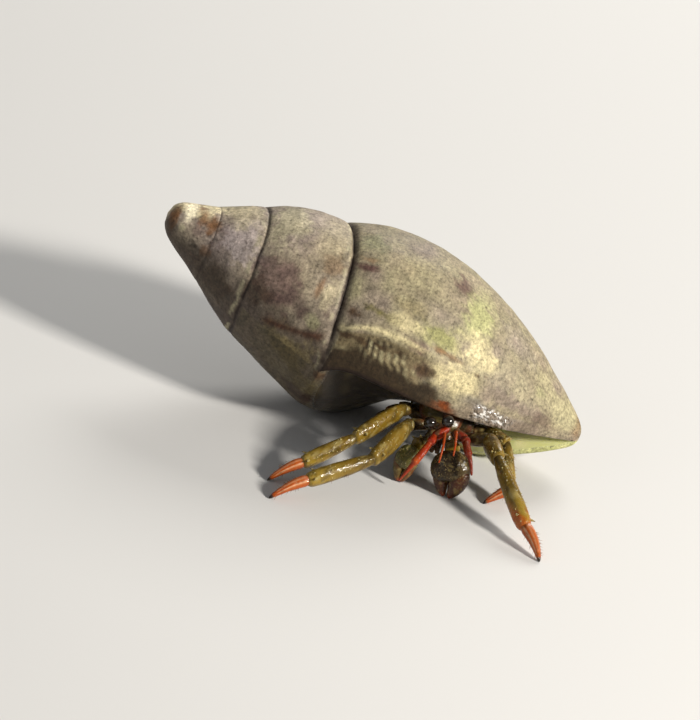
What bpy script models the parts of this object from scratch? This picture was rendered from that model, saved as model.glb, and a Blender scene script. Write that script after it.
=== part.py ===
"""A hermit crab walking in a worn whelk-like sea shell, at life size.

Lengths in the tables and constants are millimetres. MM turns them into metres.
X runs along the shell towards its open end, the crab faces -Y and Z is up.
"""
import math
import random

import bmesh
import bpy
from mathutils import Matrix, Vector

MM = 0.001
GAP = 0.3
WELD = 1e-7

# Shell: a right-handed spiral round an axis that falls towards the open end
SHELL_LENGTH = 31.2
SHELL_PITCH = math.radians(14.4)
SHELL_ANCHOR_AT = 17.6
SHELL_ANCHOR = Vector((-2.4, 7.69, 6.09))
APEX_POLE_AT = 0.2
APEX_RING_AT = 0.7
APEX_SHIFT = 0.35
APEX_SHIFT_LENGTH = 1.8
TIP_RING_AT = 30.8
SHELL_COLUMNS = 48
WHORLS_BEFORE_LIP = 5
WHORLS_AFTER_LIP = 3
WHORL_ROWS = (0.0, 0.04, 0.11, 0.21, 0.33, 0.46, 0.59, 0.72, 0.84, 0.93, 0.975)

# Sutures: each whorl is larger by the ratio, and dips towards the groove that bounds it,
# deepest on the side that the axis leans from
WHORL_RATIO = 1.95
SUTURE_AT_LIP = 13.3
SUTURE_LEAN = 0.023
SUTURE_LEAN_FROM = math.radians(-24.0)
SUTURE_DEPTH = 0.2
SUTURE_WIDTH = 0.22
SUTURE_TOP_SHARE = 0.5
SUTURE_END_FADE = math.radians(30.0)
DIP_BEFORE = 0.54
DIP_BEFORE_LENGTH = 1.4
DIP_AFTER = 0.5
DIP_AFTER_LENGTH = 2.6

# Outer lip, the ridge that an older lip left and the thinner new strip between them
LIP_ANGLE = math.radians(94.0)
LIP_CORNER_ANGLE = math.radians(11.0)
LIP_CORNER_LENGTH = 1.2
LIP_WALL = 0.55
OLD_LIP_BACK = math.radians(30.0)
OLD_LIP_WIDTH = math.radians(5.0)
OLD_LIP_HEIGHT = 0.22
OLD_LIP_FULL_RADIUS = 4.0
OLD_LIP_FADE = 1.5
NEW_STRIP_DROP = 0.12

# Distance along the axis and radius of the whorls' envelope
ENVELOPE = ((0.0, 0.8), (0.7, 1.27), (1.6, 1.7), (3.0, 2.35), (5.6, 3.85), (7.6, 4.85), (9.8, 5.55),
            (11.9, 6.2), (13.6, 6.65), (15.5, 6.85), (17.8, 6.85), (20.2, 6.4), (22.9, 5.55),
            (25.9, 4.15), (28.2, 2.75), (29.9, 1.6), (31.2, 0.6))

# Distance along the axis and radius of the pillar inside the opening
PILLAR = ((13.3, 6.6), (14.5, 6.05), (16.0, 5.15), (18.0, 4.0), (20.0, 3.15), (22.0, 2.5), (24.0, 2.0),
          (26.0, 1.55), (28.0, 1.15), (30.0, 0.8), (31.2, 0.4))

# Distance along the axis, degrees past the lip where the inner lip starts to rise off the pillar
INNER_LIP_START = ((13.3, -13.0), (16.3, 30.0), (18.3, 58.0), (20.2, 80.0), (22.0, 76.0), (24.0, 50.0),
                   (25.5, 33.0), (27.4, 20.0), (31.2, 12.0))

# Distance along the axis, degrees that the inner lip takes to reach the full radius
INNER_LIP_RISE = ((13.3, 75.0), (21.0, 72.0), (23.0, 58.0), (25.0, 42.0), (31.2, 40.0))

# Hollow behind the lip: sections wind back round the axis and shrink with depth
CAVITY_SECTIONS = 13
CAVITY_STEPS = 11
CAVITY_DEPTH = math.radians(108.0)
CAVITY_BEYOND_LIP = math.radians(14.0)
CAVITY_LOW = 15.4
CAVITY_LOW_MOVES = 3.2
CAVITY_HIGH = 29.2
CAVITY_HIGH_MOVES = 10.5
CAVITY_HIGH_CURVE = 1.4
CAVITY_WALL_GROWS = 0.5
CAVITY_OFF_PILLAR = 0.04
CAVITY_PILLAR_GROWS = 0.9
CAVITY_LEAST_HEIGHT = 0.25

# Front edge of the head. The lists of limbs start with the step from here to the root,
# and each next entry is the step from one joint to the next
HEAD = Vector((1.7, 2.4, 3.3))
TOE_ON_FLOOR = 0.02

# Walking legs: steps to root, knee, ankle, wrist and toe, half widths, bow of the toe
LEGS = {
    "leg_right_2": (((-2.15, -0.05, -0.35), (0.0, -1.8, 0.79), (-1.65, -3.65, -1.26),
                     (-3.73, -3.0, -1.21), (-2.18, -1.57, -1.25)), (0.42, 0.5, 0.5, 0.36), (0.0, 0.0, 0.2)),
    "leg_right_3": (((-2.32, 1.03, 0.24), (-0.43, -1.83, 0.76), (-2.55, -3.6, -1.2),
                     (-2.84, -2.0, -1.71), (-1.99, -1.2, -1.37)), (0.4, 0.46, 0.46, 0.34), (0.0, 0.0, 0.2)),
    "leg_left_2": (((1.55, 0.42, -0.6), (1.65, -0.62, 0.8), (0.91, -2.6, 0.06),
                    (2.72, -4.0, -2.3), (1.49, -2.02, -1.24)), (0.42, 0.5, 0.54, 0.4), (0.1, 0.0, 0.2)),
    "leg_left_3": (((1.7, 1.65, -0.28), (1.3, -0.15, 0.08), (1.46, -1.2, 0.2),
                    (0.93, -2.0, -2.25), (-1.47, -0.86, -1.03)), (0.38, 0.42, 0.42, 0.3), (0.1, 0.1, 0.15)),
}

# Short fourth legs that hold the shell from inside: the same steps, with one half width
SMALL_LEGS = {
    "leg_right_4": ((-2.3, 1.8, 0.2), (-0.7, -0.2, -0.2), (-0.7, -0.6, -0.3), (-0.5, -0.7, -0.4),
                    (-0.1, -0.5, -0.3)),
    "leg_left_4": ((1.4, 2.5, 0.2), (0.9, 0.2, -0.3), (0.9, -0.1, -0.3), (0.7, -0.4, -0.4), (0.2, -0.5, -0.3)),
}
SMALL_LEG_SIZE = 0.28
SMALL_TOE_BOW = (0.0, 0.0, 0.05)

# Claw arms: steps to root, elbow and wrist, half widths. The hand follows with its step from
# the arm's wrist, the step to the knuckles, the steps on to the two fingertips and its sizes
CHELIPEDS = {
    "cheliped_right": (((-0.65, 0.0, -1.3), (-0.3, -0.85, 0.35), (-0.2, -0.4, 0.1)), (0.38, 0.42),
                       (-0.37, -0.7, -0.1), (-0.18, -0.45, -1.15), (-0.35, -0.23), (0.2, -0.3), (0.75, 0.6)),
    "cheliped_left": (((0.75, 0.1, -1.15), (0.3, -0.85, 0.45), (0.05, -0.35, 0.05)), (0.4, 0.48),
                      (-0.05, -1.1, 0.15), (0.35, -0.5, -1.45), (0.4, -0.55), (-0.35, -0.3), (1.25, 0.85)),
}
FINGERTIP_HEIGHT = 0.05

# Antennae: steps to the base, to the end of the stalk and along the whip
ANTENNAE = {
    "antenna_right": ((-0.27, -1.12, -0.08), (-0.15, -1.3, 0.05), (-0.5, -0.9, -0.75), (-0.5, -0.4, -1.0),
                      (-0.41, -0.1, -0.9)),
    "antenna_left": ((1.7, -0.9, 0.15), (0.1, -1.2, 0.35), (0.2, -0.9, -0.1), (0.4, -0.6, -0.5),
                     (0.3, -0.3, -0.8)),
}
ANTENNA_STALK = 0.3
ANTENNA_WHIP = (0.27, 0.14)
ANTENNULES = {
    "antennule_right": ((0.31, -1.32, 0.32), (0.05, -0.7, 0.05), (0.05, -1.2, -0.25), (0.0, -0.6, -0.8)),
    "antennule_left": ((1.0, -1.2, 0.58), (0.05, -0.8, 0.15), (0.1, -1.2, -0.15), (0.05, -0.6, -0.5)),
}
ANTENNULE = (0.25, 0.14)

# Mouthparts: a root block and two feelers, as steps from the head
MOUTH_PALPS = (((-0.14, -0.64, -0.6), (-0.03, -0.4, -0.3), (-0.1, -0.2, -0.4)),
               ((0.08, -0.64, -0.6), (0.03, -0.4, -0.3), (0.05, -0.2, -0.4)))
MOUTH_PALP = (0.25, 0.14)

# Eyes: steps to the root of the stalk and on to the centre of the cornea
EYES = {
    "right": ((-0.35, -0.45, 0.37), (-0.45, -0.9, 0.45)),
    "left": ((0.4, -0.4, 0.48), (-0.1, -0.85, 0.72)),
}
EYE_RADIUS = 0.42
EYESTALK = 0.25

# Head and shield: steps back from the head, half width and thickness by share of the length
CARAPACE_STEPS = ((0.0, 0.0, 0.0), (0.0, 0.45, 0.2), (-0.15, 0.45, 0.55), (-0.15, 0.1, 0.75), (-0.15, 0.1, 0.55))
CARAPACE_WIDTH = ((0.0, 0.7), (0.25, 1.25), (0.55, 1.6), (0.8, 1.5), (1.0, 1.0))
CARAPACE_THICKNESS = ((0.0, 0.35), (0.25, 0.55), (0.55, 0.7), (0.8, 0.75), (1.0, 0.5))
CARAPACE_FACE = (0.0, -0.5, 1.0)

# Hind body in the shell: along the axis, radius, angle in degrees, half width, thickness
ABDOMEN = ((20.9, 4.22, 76.0, 0.8, 0.4), (20.6, 4.25, 69.0, 1.2, 0.62), (20.0, 4.55, 55.0, 1.35, 0.62),
           (19.3, 4.8, 42.0, 1.05, 0.42), (18.8, 4.95, 32.0, 0.7, 0.28))
ABDOMEN_FACE = (0.0, -0.7, 0.7)

# Fraction along a limb's segment and share of its half width there
SEGMENT_PROFILE = ((-0.08, 0.45), (0.0, 0.78), (0.14, 0.88), (0.45, 1.0), (0.75, 1.02), (0.92, 0.95),
                   (1.04, 0.55))
BLUNT_END_PROFILE = ((-0.08, 0.45), (0.0, 0.78), (0.14, 0.88), (0.45, 1.0), (0.75, 1.02), (0.95, 0.97),
                     (1.0, 0.8))
BLUNT_START_PROFILE = ((0.0, 0.78), (0.04, 0.9), (0.45, 1.0), (0.75, 1.02), (0.92, 0.95), (1.04, 0.55))
TOE_PROFILE = ((-0.06, 0.55), (0.0, 0.9), (0.12, 1.0), (0.35, 0.9), (0.6, 0.7), (0.82, 0.5), (1.0, 0.3))
PALM_PROFILE = ((-0.1, 0.4), (0.02, 0.72), (0.25, 0.95), (0.55, 1.0), (0.85, 0.88), (1.05, 0.5))
FINGER_PROFILE = ((-0.25, 0.7), (0.0, 1.0), (0.3, 0.95), (0.6, 0.75), (0.85, 0.5), (1.0, 0.3))
ROUND_CAP = 0.5
BLUNT_CAP = 0.15
LIMB_HEIGHT = 1.12

# Fingers of a claw, as shares of the palm's half width and thickness
FINGER_APART = 0.45
FINGER_BOW = 0.14
FIXED_FINGER = (0.42, 0.5)
FREE_FINGER = (0.38, 0.46)

# Spines at the joints and blunt ones on the palms
SPINES_AT_JOINT = 3
SPINE_LENGTH = (0.42, 0.55)
SPINE_WIDTH = 0.16
SPINE_LEAN = 0.9
SPINE_ROOT = 0.75
PALM_SPINE_ROWS = 3
PALM_SPINE_LENGTH = 0.3
PALM_SPINE_WIDTH = 0.17
PALM_SPINE_ROOT = 0.86

COLLECTION = bpy.context.scene.collection


def clear_scene():
    for obj in list(bpy.data.objects):
        bpy.data.objects.remove(obj, do_unlink=True)


def make_material(name, colour, roughness, metallic=0.0):
    material = bpy.data.materials.new(name)
    material.use_nodes = True
    shader = material.node_tree.nodes["Principled BSDF"]
    shader.inputs["Base Color"].default_value = (*colour, 1.0)
    shader.inputs["Roughness"].default_value = roughness
    shader.inputs["Metallic"].default_value = metallic
    material.diffuse_color = (*colour, 1.0)
    return material


def smooth_step(value):
    value = min(1.0, max(0.0, value))
    return value * value * (3.0 - 2.0 * value)


def curve_value(table, at):
    """Smooth curve through the pairs of a table."""
    if at <= table[0][0]:
        return table[0][1]
    if at >= table[-1][0]:
        return table[-1][1]
    index = 0
    while table[index + 1][0] < at:
        index += 1
    (x0, y0), (x1, y1) = table[index], table[index + 1]
    before = table[max(index - 1, 0)]
    after = table[min(index + 2, len(table) - 1)]
    slope0 = (y1 - before[1]) / (x1 - before[0])
    slope1 = (after[1] - y0) / (after[0] - x0)
    span = x1 - x0
    t = (at - x0) / span
    return ((2 * t ** 3 - 3 * t ** 2 + 1) * y0 + (t ** 3 - 2 * t ** 2 + t) * span * slope0
            + (3 * t ** 2 - 2 * t ** 3) * y1 + (t ** 3 - t ** 2) * span * slope1)


def chain(start, steps):
    """Points reached one after the other from a start."""
    points = []
    place = Vector(start)
    for step in steps:
        place = place + Vector(step)
        points.append(place)
    return points


def new_object(name, vertices, faces, material):
    mesh = bpy.data.meshes.new(name)
    mesh.from_pydata([Vector(v) * MM for v in vertices], [], faces)
    obj = bpy.data.objects.new(name, mesh)
    COLLECTION.objects.link(obj)
    if material:
        mesh.materials.append(material)
    return obj


def apply_modifiers(obj):
    graph = bpy.context.evaluated_depsgraph_get()
    mesh = bpy.data.meshes.new_from_object(obj.evaluated_get(graph))
    old = obj.data
    obj.modifiers.clear()
    obj.data = mesh
    bpy.data.meshes.remove(old)
    mesh.name = obj.name


def fuse(obj, pieces):
    """Boolean union of an object with a list of closed pieces, applied."""
    group = bpy.data.collections.new(obj.name + "_pieces")
    COLLECTION.children.link(group)
    for piece in pieces:
        COLLECTION.objects.unlink(piece)
        group.objects.link(piece)
    union = obj.modifiers.new("union", "BOOLEAN")
    union.operation = "UNION"
    union.operand_type = "COLLECTION"
    union.collection = group
    union.solver = "EXACT"
    apply_modifiers(obj)
    for piece in pieces:
        bpy.data.objects.remove(piece, do_unlink=True)
    bpy.data.collections.remove(group)


def cut(obj, cutter):
    difference = obj.modifiers.new("cut", "BOOLEAN")
    difference.operation = "DIFFERENCE"
    difference.object = cutter
    difference.solver = "EXACT"
    apply_modifiers(obj)
    bpy.data.objects.remove(cutter, do_unlink=True)


def surface_parts(mesh):
    """Connected surfaces of a bmesh, largest first, each as a set of faces."""
    left = set(mesh.faces)
    parts = []
    while left:
        part = {left.pop()}
        front = list(part)
        while front:
            for edge in front.pop().edges:
                for face in edge.link_faces:
                    if face in left:
                        left.discard(face)
                        part.add(face)
                        front.append(face)
        parts.append(part)
    return sorted(parts, key=lambda part: -sum(face.calc_area() for face in part))


def face_out(mesh):
    """Triangles with their faces pointing out."""
    bmesh.ops.triangulate(mesh, faces=mesh.faces)
    bmesh.ops.recalc_face_normals(mesh, faces=mesh.faces)
    if mesh.calc_volume(signed=True) < 0:
        bmesh.ops.reverse_faces(mesh, faces=mesh.faces)


def finish_solid(obj):
    """Cut a flat at the floor, keep the largest closed surface and triangulate."""
    mesh = bmesh.new()
    mesh.from_mesh(obj.data)
    bmesh.ops.remove_doubles(mesh, verts=mesh.verts, dist=WELD)
    bmesh.ops.dissolve_degenerate(mesh, edges=mesh.edges, dist=WELD)
    if min(vertex.co.z for vertex in mesh.verts) < 0.0:
        geometry = mesh.verts[:] + mesh.edges[:] + mesh.faces[:]
        bmesh.ops.bisect_plane(mesh, geom=geometry, dist=WELD, plane_co=(0, 0, 0),
                               plane_no=(0, 0, -1), clear_outer=True)
        border = [edge for edge in mesh.edges if edge.is_boundary]
        bmesh.ops.triangle_fill(mesh, edges=border, use_beauty=True, normal=(0, 0, -1))
    for part in surface_parts(mesh)[1:]:
        bmesh.ops.delete(mesh, geom=list(part), context="FACES")
    face_out(mesh)
    mesh.to_mesh(obj.data)
    mesh.free()
    obj.data.shade_smooth()
    obj.data.set_sharp_from_angle(angle=math.radians(40.0))


def closed_mesh(name, points, faces):
    """Object of one closed surface, triangulated and facing out."""
    obj = new_object(name, points, faces, None)
    mesh = bmesh.new()
    mesh.from_mesh(obj.data)
    face_out(mesh)
    mesh.to_mesh(obj.data)
    mesh.free()
    return obj


def lip_angle(along):
    """Angle of the outer lip round the axis, wider at its rear corner."""
    past = max(0.0, along - SUTURE_AT_LIP)
    return LIP_ANGLE + LIP_CORNER_ANGLE * math.exp(-past / LIP_CORNER_LENGTH)


def suture_at(angle):
    """Distance along the axis of the last suture at an unwrapped angle."""
    turns = (angle - LIP_ANGLE - LIP_CORNER_ANGLE) / math.tau
    lean = 1.0 + SUTURE_LEAN * math.cos(angle - SUTURE_LEAN_FROM)
    lean_end = 1.0 + SUTURE_LEAN * math.cos(LIP_ANGLE + LIP_CORNER_ANGLE - SUTURE_LEAN_FROM)
    return SUTURE_AT_LIP * WHORL_RATIO ** turns * lean / lean_end


def whorl_relief(along, turn):
    """Change of radius by the sutures, whose last one lies at suture_at(turn)."""
    relief = 0.0
    deeper = 1.0 + SUTURE_TOP_SHARE * math.cos(turn - SUTURE_LEAN_FROM)
    for back in range(WHORLS_BEFORE_LIP):
        suture = suture_at(turn - back * math.tau)
        size = suture / SUTURE_AT_LIP
        past = (along - suture) / size
        to_end = LIP_ANGLE + LIP_CORNER_ANGLE - turn + back * math.tau
        depth = deeper * size ** 2 * smooth_step(to_end / SUTURE_END_FADE)
        relief -= SUTURE_DEPTH * depth * math.exp(-(past / SUTURE_WIDTH) ** 2)
        if past > 0.0:
            relief -= DIP_AFTER * depth * math.exp(-past / DIP_AFTER_LENGTH)
            break
        relief -= DIP_BEFORE * depth * math.exp(past / DIP_BEFORE_LENGTH)
    return relief


def shell_radius(along, past_lip):
    """Radius of the shell past_lip radians beyond its outer lip."""
    outer = curve_value(ENVELOPE, along)
    turn = lip_angle(along) - math.tau + past_lip
    outer += whorl_relief(along, turn)
    to_lip = math.tau - past_lip
    ridge = math.exp(-((to_lip - OLD_LIP_BACK) / OLD_LIP_WIDTH) ** 2)
    strip = smooth_step((OLD_LIP_BACK - to_lip) / OLD_LIP_WIDTH + 0.5)
    body = smooth_step((along - suture_at(turn)) / OLD_LIP_FADE) * min(1.0, outer / OLD_LIP_FULL_RADIUS)
    outer += body * (OLD_LIP_HEIGHT * ridge - NEW_STRIP_DROP * strip)
    if along <= SUTURE_AT_LIP:
        return outer
    pillar = min(curve_value(PILLAR, along), outer)
    start = curve_value(INNER_LIP_START, along)
    rise = (math.degrees(past_lip) - start) / curve_value(INNER_LIP_RISE, along)
    return pillar + (outer - pillar) * smooth_step(rise)


def shell_point(along, radius, angle):
    """Point of the shell in the part's frame."""
    local = Vector((along - SHELL_ANCHOR_AT, -radius * math.sin(angle), radius * math.cos(angle)))
    shift = APEX_SHIFT * math.exp(-along / APEX_SHIFT_LENGTH)
    local += shift * Vector((0.0, -math.sin(SUTURE_LEAN_FROM), math.cos(SUTURE_LEAN_FROM)))
    return SHELL_ANCHOR + Matrix.Rotation(SHELL_PITCH, 3, "Y") @ local


def row_turn(row):
    whorl, step = divmod(row, len(WHORL_ROWS))
    return whorl + WHORL_ROWS[step]


def shell_vertex_grid():
    """Vertices of the spiral surface by row and column, with its two poles."""
    points = [shell_point(APEX_POLE_AT, 0.0, 0.0), shell_point(SHELL_LENGTH, 0.0, 0.0)]
    apex, tip = 0, 1
    grid = {}
    rows = len(WHORL_ROWS)
    first = -WHORLS_BEFORE_LIP * rows
    last = WHORLS_AFTER_LIP * rows
    for column in range(SHELL_COLUMNS + 1):
        past_lip = math.tau * column / SHELL_COLUMNS
        turn = LIP_ANGLE + LIP_CORNER_ANGLE - math.tau + past_lip
        places = [suture_at(turn + row_turn(row) * math.tau) for row in range(first, last)]
        for index, along in enumerate(places):
            row = first + index
            if index + 1 < len(places) and places[index + 1] <= APEX_RING_AT:
                grid[row, column] = apex
                continue
            if index and places[index - 1] >= TIP_RING_AT:
                grid[row, column] = tip
                continue
            along = min(max(along, APEX_RING_AT), TIP_RING_AT)
            if column == SHELL_COLUMNS and along <= SUTURE_AT_LIP * 1.001:
                grid[row, column] = grid[row + rows, 0]
            else:
                angle = lip_angle(along) + past_lip
                grid[row, column] = len(points)
                points.append(shell_point(along, shell_radius(along, past_lip), angle))
    return points, grid


def shell_surface():
    """Closed outer surface of the shell, with a flat face across the outer lip."""
    points, grid = shell_vertex_grid()
    rows = len(WHORL_ROWS)
    faces = []

    def add_face(corners):
        loop = []
        for corner in corners:
            if corner not in loop:
                loop.append(corner)
        if len(loop) > 2:
            faces.append(loop)

    for column in range(SHELL_COLUMNS):
        for row in range(-WHORLS_BEFORE_LIP * rows, WHORLS_AFTER_LIP * rows - 1):
            add_face((grid[row, column], grid[row, column + 1],
                      grid[row + 1, column + 1], grid[row + 1, column]))
    for row in range(-1, (WHORLS_AFTER_LIP - 1) * rows - 1):
        add_face((grid[row, SHELL_COLUMNS], grid[row + rows, 0],
                  grid[row + rows + 1, 0], grid[row + 1, SHELL_COLUMNS]))
    return closed_mesh("shell", points, faces)


def cavity_cutter():
    """The hollow behind the outer lip, narrowing as it winds back."""
    points = []
    faces = []
    for section in range(CAVITY_SECTIONS):
        depth = section / (CAVITY_SECTIONS - 1)
        turn = CAVITY_BEYOND_LIP - depth * (CAVITY_BEYOND_LIP + CAVITY_DEPTH)
        low = CAVITY_LOW - CAVITY_LOW_MOVES * depth
        high = CAVITY_HIGH - CAVITY_HIGH_MOVES * depth ** CAVITY_HIGH_CURVE
        upper = []
        lower = []
        for step in range(CAVITY_STEPS):
            along = low + (high - low) * step / (CAVITY_STEPS - 1)
            outer = curve_value(ENVELOPE, along) - LIP_WALL - CAVITY_WALL_GROWS * depth
            inner = curve_value(PILLAR, along) + CAVITY_OFF_PILLAR + CAVITY_PILLAR_GROWS * depth
            upper.append((along, outer))
            lower.append((along, min(inner, outer - CAVITY_LEAST_HEIGHT)))
        for along, radius in upper + lower[::-1]:
            points.append(shell_point(along, radius, lip_angle(along) + turn))
    size = 2 * CAVITY_STEPS
    for section in range(CAVITY_SECTIONS - 1):
        for step in range(size):
            a = section * size + step
            b = section * size + (step + 1) % size
            faces.append((a, b, b + size, a + size))
    faces.append(tuple(reversed(range(size))))
    faces.append(tuple(range((CAVITY_SECTIONS - 1) * size, CAVITY_SECTIONS * size)))
    return closed_mesh("cavity", points, faces)


def make_shell(material):
    shell = shell_surface()
    cut(shell, cavity_cutter())
    shell.data.materials.clear()
    shell.data.materials.append(material)
    finish_solid(shell)


def smooth_path(points, steps):
    """Points of a smooth curve through the given points, steps per span."""
    path = []
    for index in range(len(points) - 1):
        p1 = points[index]
        p2 = points[index + 1]
        p0 = points[index - 1] if index else p1 * 2 - p2
        p3 = points[index + 2] if index + 2 < len(points) else p2 * 2 - p1
        for step in range(steps):
            t = step / steps
            path.append(0.5 * (2 * p1 + (p2 - p0) * t + (2 * p0 - 5 * p1 + 4 * p2 - p3) * t ** 2
                               + (3 * p1 - p0 - 3 * p2 + p3) * t ** 3))
    path.append(points[-1])
    return path


def swept(name, path, sizes, material=None, sides=10, across=(0.0, 0.0, 1.0), caps=(ROUND_CAP, ROUND_CAP)):
    """Closed tube along a path; sizes are half widths (side, across) at each point."""
    across = Vector(across)
    vertices = [path[0] - (path[1] - path[0]).normalized() * min(sizes[0]) * caps[0]]
    for index, centre in enumerate(path):
        ahead = path[min(index + 1, len(path) - 1)] - path[max(index - 1, 0)]
        side = ahead.cross(across).normalized()
        up = side.cross(ahead).normalized()
        wide, high = sizes[index]
        for corner in range(sides):
            angle = math.tau * corner / sides
            vertices.append(centre + side * wide * math.cos(angle) + up * high * math.sin(angle))
    vertices.append(path[-1] + (path[-1] - path[-2]).normalized() * min(sizes[-1]) * caps[1])
    faces = []
    last = len(vertices) - 1
    end = last - sides
    for corner in range(sides):
        following = (corner + 1) % sides
        faces.append((0, 1 + corner, 1 + following))
        for ring in range(len(path) - 1):
            a = 1 + ring * sides
            b = a + sides
            faces.append((a + corner, b + corner, b + following, a + following))
        faces.append((last, end + following, end + corner))
    return new_object(name, vertices, faces, material)


def segment(name, start, end, width, height, profile=SEGMENT_PROFILE, bow=(0.0, 0.0, 0.0), **options):
    """Limb segment between two joints, bowed at its middle."""
    path = []
    sizes = []
    for fraction, share in profile:
        path.append(start.lerp(end, fraction) + Vector(bow) * 4.0 * fraction * (1.0 - fraction))
        sizes.append((width * share, height * share))
    return swept(name, path, sizes, **options)


def spine(root, direction, length, width):
    """Small cone whose base is sunk in the limb that it grows from."""
    direction = direction.normalized()
    path = [root - direction * width, root + direction * length * 0.4, root + direction * length]
    sizes = [(width * share, width * share) for share in (1.0, 0.6, 0.15)]
    return swept("spine", path, sizes, sides=5, across=(0.3, 0.2, 0.9))


def joint_spines(start, end, width, count, rng):
    """Spines round the upper half of a segment's far end."""
    ahead = (end - start).normalized()
    side = ahead.cross(Vector((0, 0, 1))).normalized()
    up = side.cross(ahead)
    spines = []
    for index in range(count):
        angle = math.radians(30 + 120 * index / max(1, count - 1)) + rng.uniform(-0.15, 0.15)
        out = side * math.cos(angle) + up * math.sin(angle)
        root = start.lerp(end, 0.84 + 0.08 * (index % 2)) + out * width * SPINE_ROOT
        spines.append(spine(root, out + ahead * SPINE_LEAN, rng.uniform(*SPINE_LENGTH), SPINE_WIDTH))
    return spines


def joint_ends(before, joint, after, width):
    """Ends of two segments at a joint, a gap apart on the inner side of its bend."""
    ahead = (joint - before).normalized()
    onward = (after - joint).normalized()
    back = GAP / 2 + width * math.tan(ahead.angle(onward) / 2)
    return joint - ahead * back, joint + onward * back


def make_leg(name, steps, sizes, toe_bow, material, seed):
    """Walking leg: an upper node down to the ankle and a lower one with the toe on the floor."""
    rng = random.Random(seed)
    root, knee, ankle, wrist, tip = chain(HEAD, steps)
    tip.z = TOE_ON_FLOOR
    thigh, shin, hand, toe = sizes
    shin_end, hand_start = joint_ends(knee, ankle, wrist, max(shin, hand))
    upper = segment(name + "_upper", root, knee, thigh, thigh * LIMB_HEIGHT, material=material)
    pieces = [segment("shin", knee, shin_end, shin, shin * LIMB_HEIGHT, BLUNT_END_PROFILE,
                      caps=(ROUND_CAP, BLUNT_CAP))]
    pieces += joint_spines(knee, shin_end, shin, SPINES_AT_JOINT, rng)
    fuse(upper, pieces)
    finish_solid(upper)
    lower = segment(name + "_lower", hand_start, wrist, hand, hand * LIMB_HEIGHT, BLUNT_START_PROFILE,
                    material=material, caps=(BLUNT_CAP, ROUND_CAP))
    pieces = [segment("toe", wrist, tip, toe, toe * LIMB_HEIGHT, TOE_PROFILE, toe_bow)]
    pieces += joint_spines(hand_start, wrist, hand, SPINES_AT_JOINT - 1, rng)
    fuse(lower, pieces)
    finish_solid(lower)


def make_small_leg(name, steps, material):
    """Short leg inside the shell, as one node."""
    joints = chain(HEAD, steps)
    size = SMALL_LEG_SIZE
    leg = segment(name, joints[0], joints[1], size, size * LIMB_HEIGHT, material=material, sides=8)
    pieces = [segment("shin", start, end, size, size * LIMB_HEIGHT, sides=8)
              for start, end in zip(joints[1:3], joints[2:4])]
    pieces.append(segment("toe", joints[3], joints[4], size, size * LIMB_HEIGHT, TOE_PROFILE,
                          SMALL_TOE_BOW, sides=8))
    fuse(leg, pieces)
    finish_solid(leg)


def palm_spines(wrist, knuckle, width, height, rng):
    """Blunt spines in rows over the front of a palm."""
    ahead = (knuckle - wrist).normalized()
    front = Vector((0.0, -1.0, 0.0))
    side = ahead.cross(front)
    spines = []
    for row in range(PALM_SPINE_ROWS):
        for column in (-1, 0, 1):
            turn = column * 0.66 + rng.uniform(-0.1, 0.1)
            out = front * math.cos(turn) * height + side * math.sin(turn) * width
            root = wrist.lerp(knuckle, 0.3 + 0.26 * row) + out * PALM_SPINE_ROOT
            spines.append(spine(root, out.normalized() + ahead * 0.5, PALM_SPINE_LENGTH, PALM_SPINE_WIDTH))
    return spines


def make_hand(name, wrist, steps, size, material, rng):
    """Claw of one palm with a fixed and a moving finger, slightly parted."""
    width, height = size
    to_knuckle, to_fixed, to_free = steps
    knuckle = wrist + Vector(to_knuckle)
    fixed_tip = Vector((knuckle.x + to_fixed[0], knuckle.y + to_fixed[1], FINGERTIP_HEIGHT))
    free_tip = Vector((knuckle.x + to_free[0], knuckle.y + to_free[1], FINGERTIP_HEIGHT))
    hand = segment(name, wrist, knuckle, width, height, PALM_PROFILE, material=material,
                   sides=12, across=(0.0, 1.0, 0.0))
    apart = (free_tip - fixed_tip).normalized() * width
    pieces = palm_spines(wrist, knuckle, width, height, rng)
    for tip, share, way in ((fixed_tip, FIXED_FINGER, -1.0), (free_tip, FREE_FINGER, 1.0)):
        pieces.append(segment("finger", knuckle + apart * FINGER_APART * way, tip, width * share[0],
                              height * share[1], FINGER_PROFILE, apart * FINGER_BOW * way))
    fuse(hand, pieces)
    finish_solid(hand)


def make_cheliped(name, arm_steps, arm_sizes, to_hand, to_knuckle, to_fixed, to_free, size, material, seed):
    """Claw leg: a short spiny arm and a hand that starts a gap beyond it."""
    rng = random.Random(seed)
    root, elbow, wrist = chain(HEAD, arm_steps)
    arm = segment(name + "_arm", root, elbow, arm_sizes[0], arm_sizes[0] * LIMB_HEIGHT, material=material)
    pieces = [segment("wrist", elbow, wrist, arm_sizes[1], arm_sizes[1] * LIMB_HEIGHT)]
    pieces += joint_spines(elbow, wrist, arm_sizes[1], SPINES_AT_JOINT, rng)
    fuse(arm, pieces)
    finish_solid(arm)
    make_hand(name + "_hand", wrist + Vector(to_hand), (to_knuckle, to_fixed, to_free), size, material, rng)


def tapered(name, points, radii, material=None, steps=4, sides=8):
    """Feeler along a smooth curve, from its first radius to its second."""
    path = smooth_path(points, steps)
    count = len(path) - 1
    sizes = []
    for index in range(count + 1):
        radius = radii[0] + (radii[1] - radii[0]) * index / count
        sizes.append((radius, radius))
    return swept(name, path, sizes, material, sides)


def make_antenna(name, steps, material):
    """Stalk of an antenna with its whip."""
    base, bend, *whip = chain(HEAD, steps)
    antenna = segment(name, base, bend, ANTENNA_STALK, ANTENNA_STALK, material=material)
    fuse(antenna, [tapered("whip", [bend.lerp(base, 0.25)] + whip, ANTENNA_WHIP, steps=5)])
    finish_solid(antenna)


def make_antennule(name, steps, material):
    finish_solid(tapered(name, chain(HEAD, steps), ANTENNULE, material))


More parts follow.
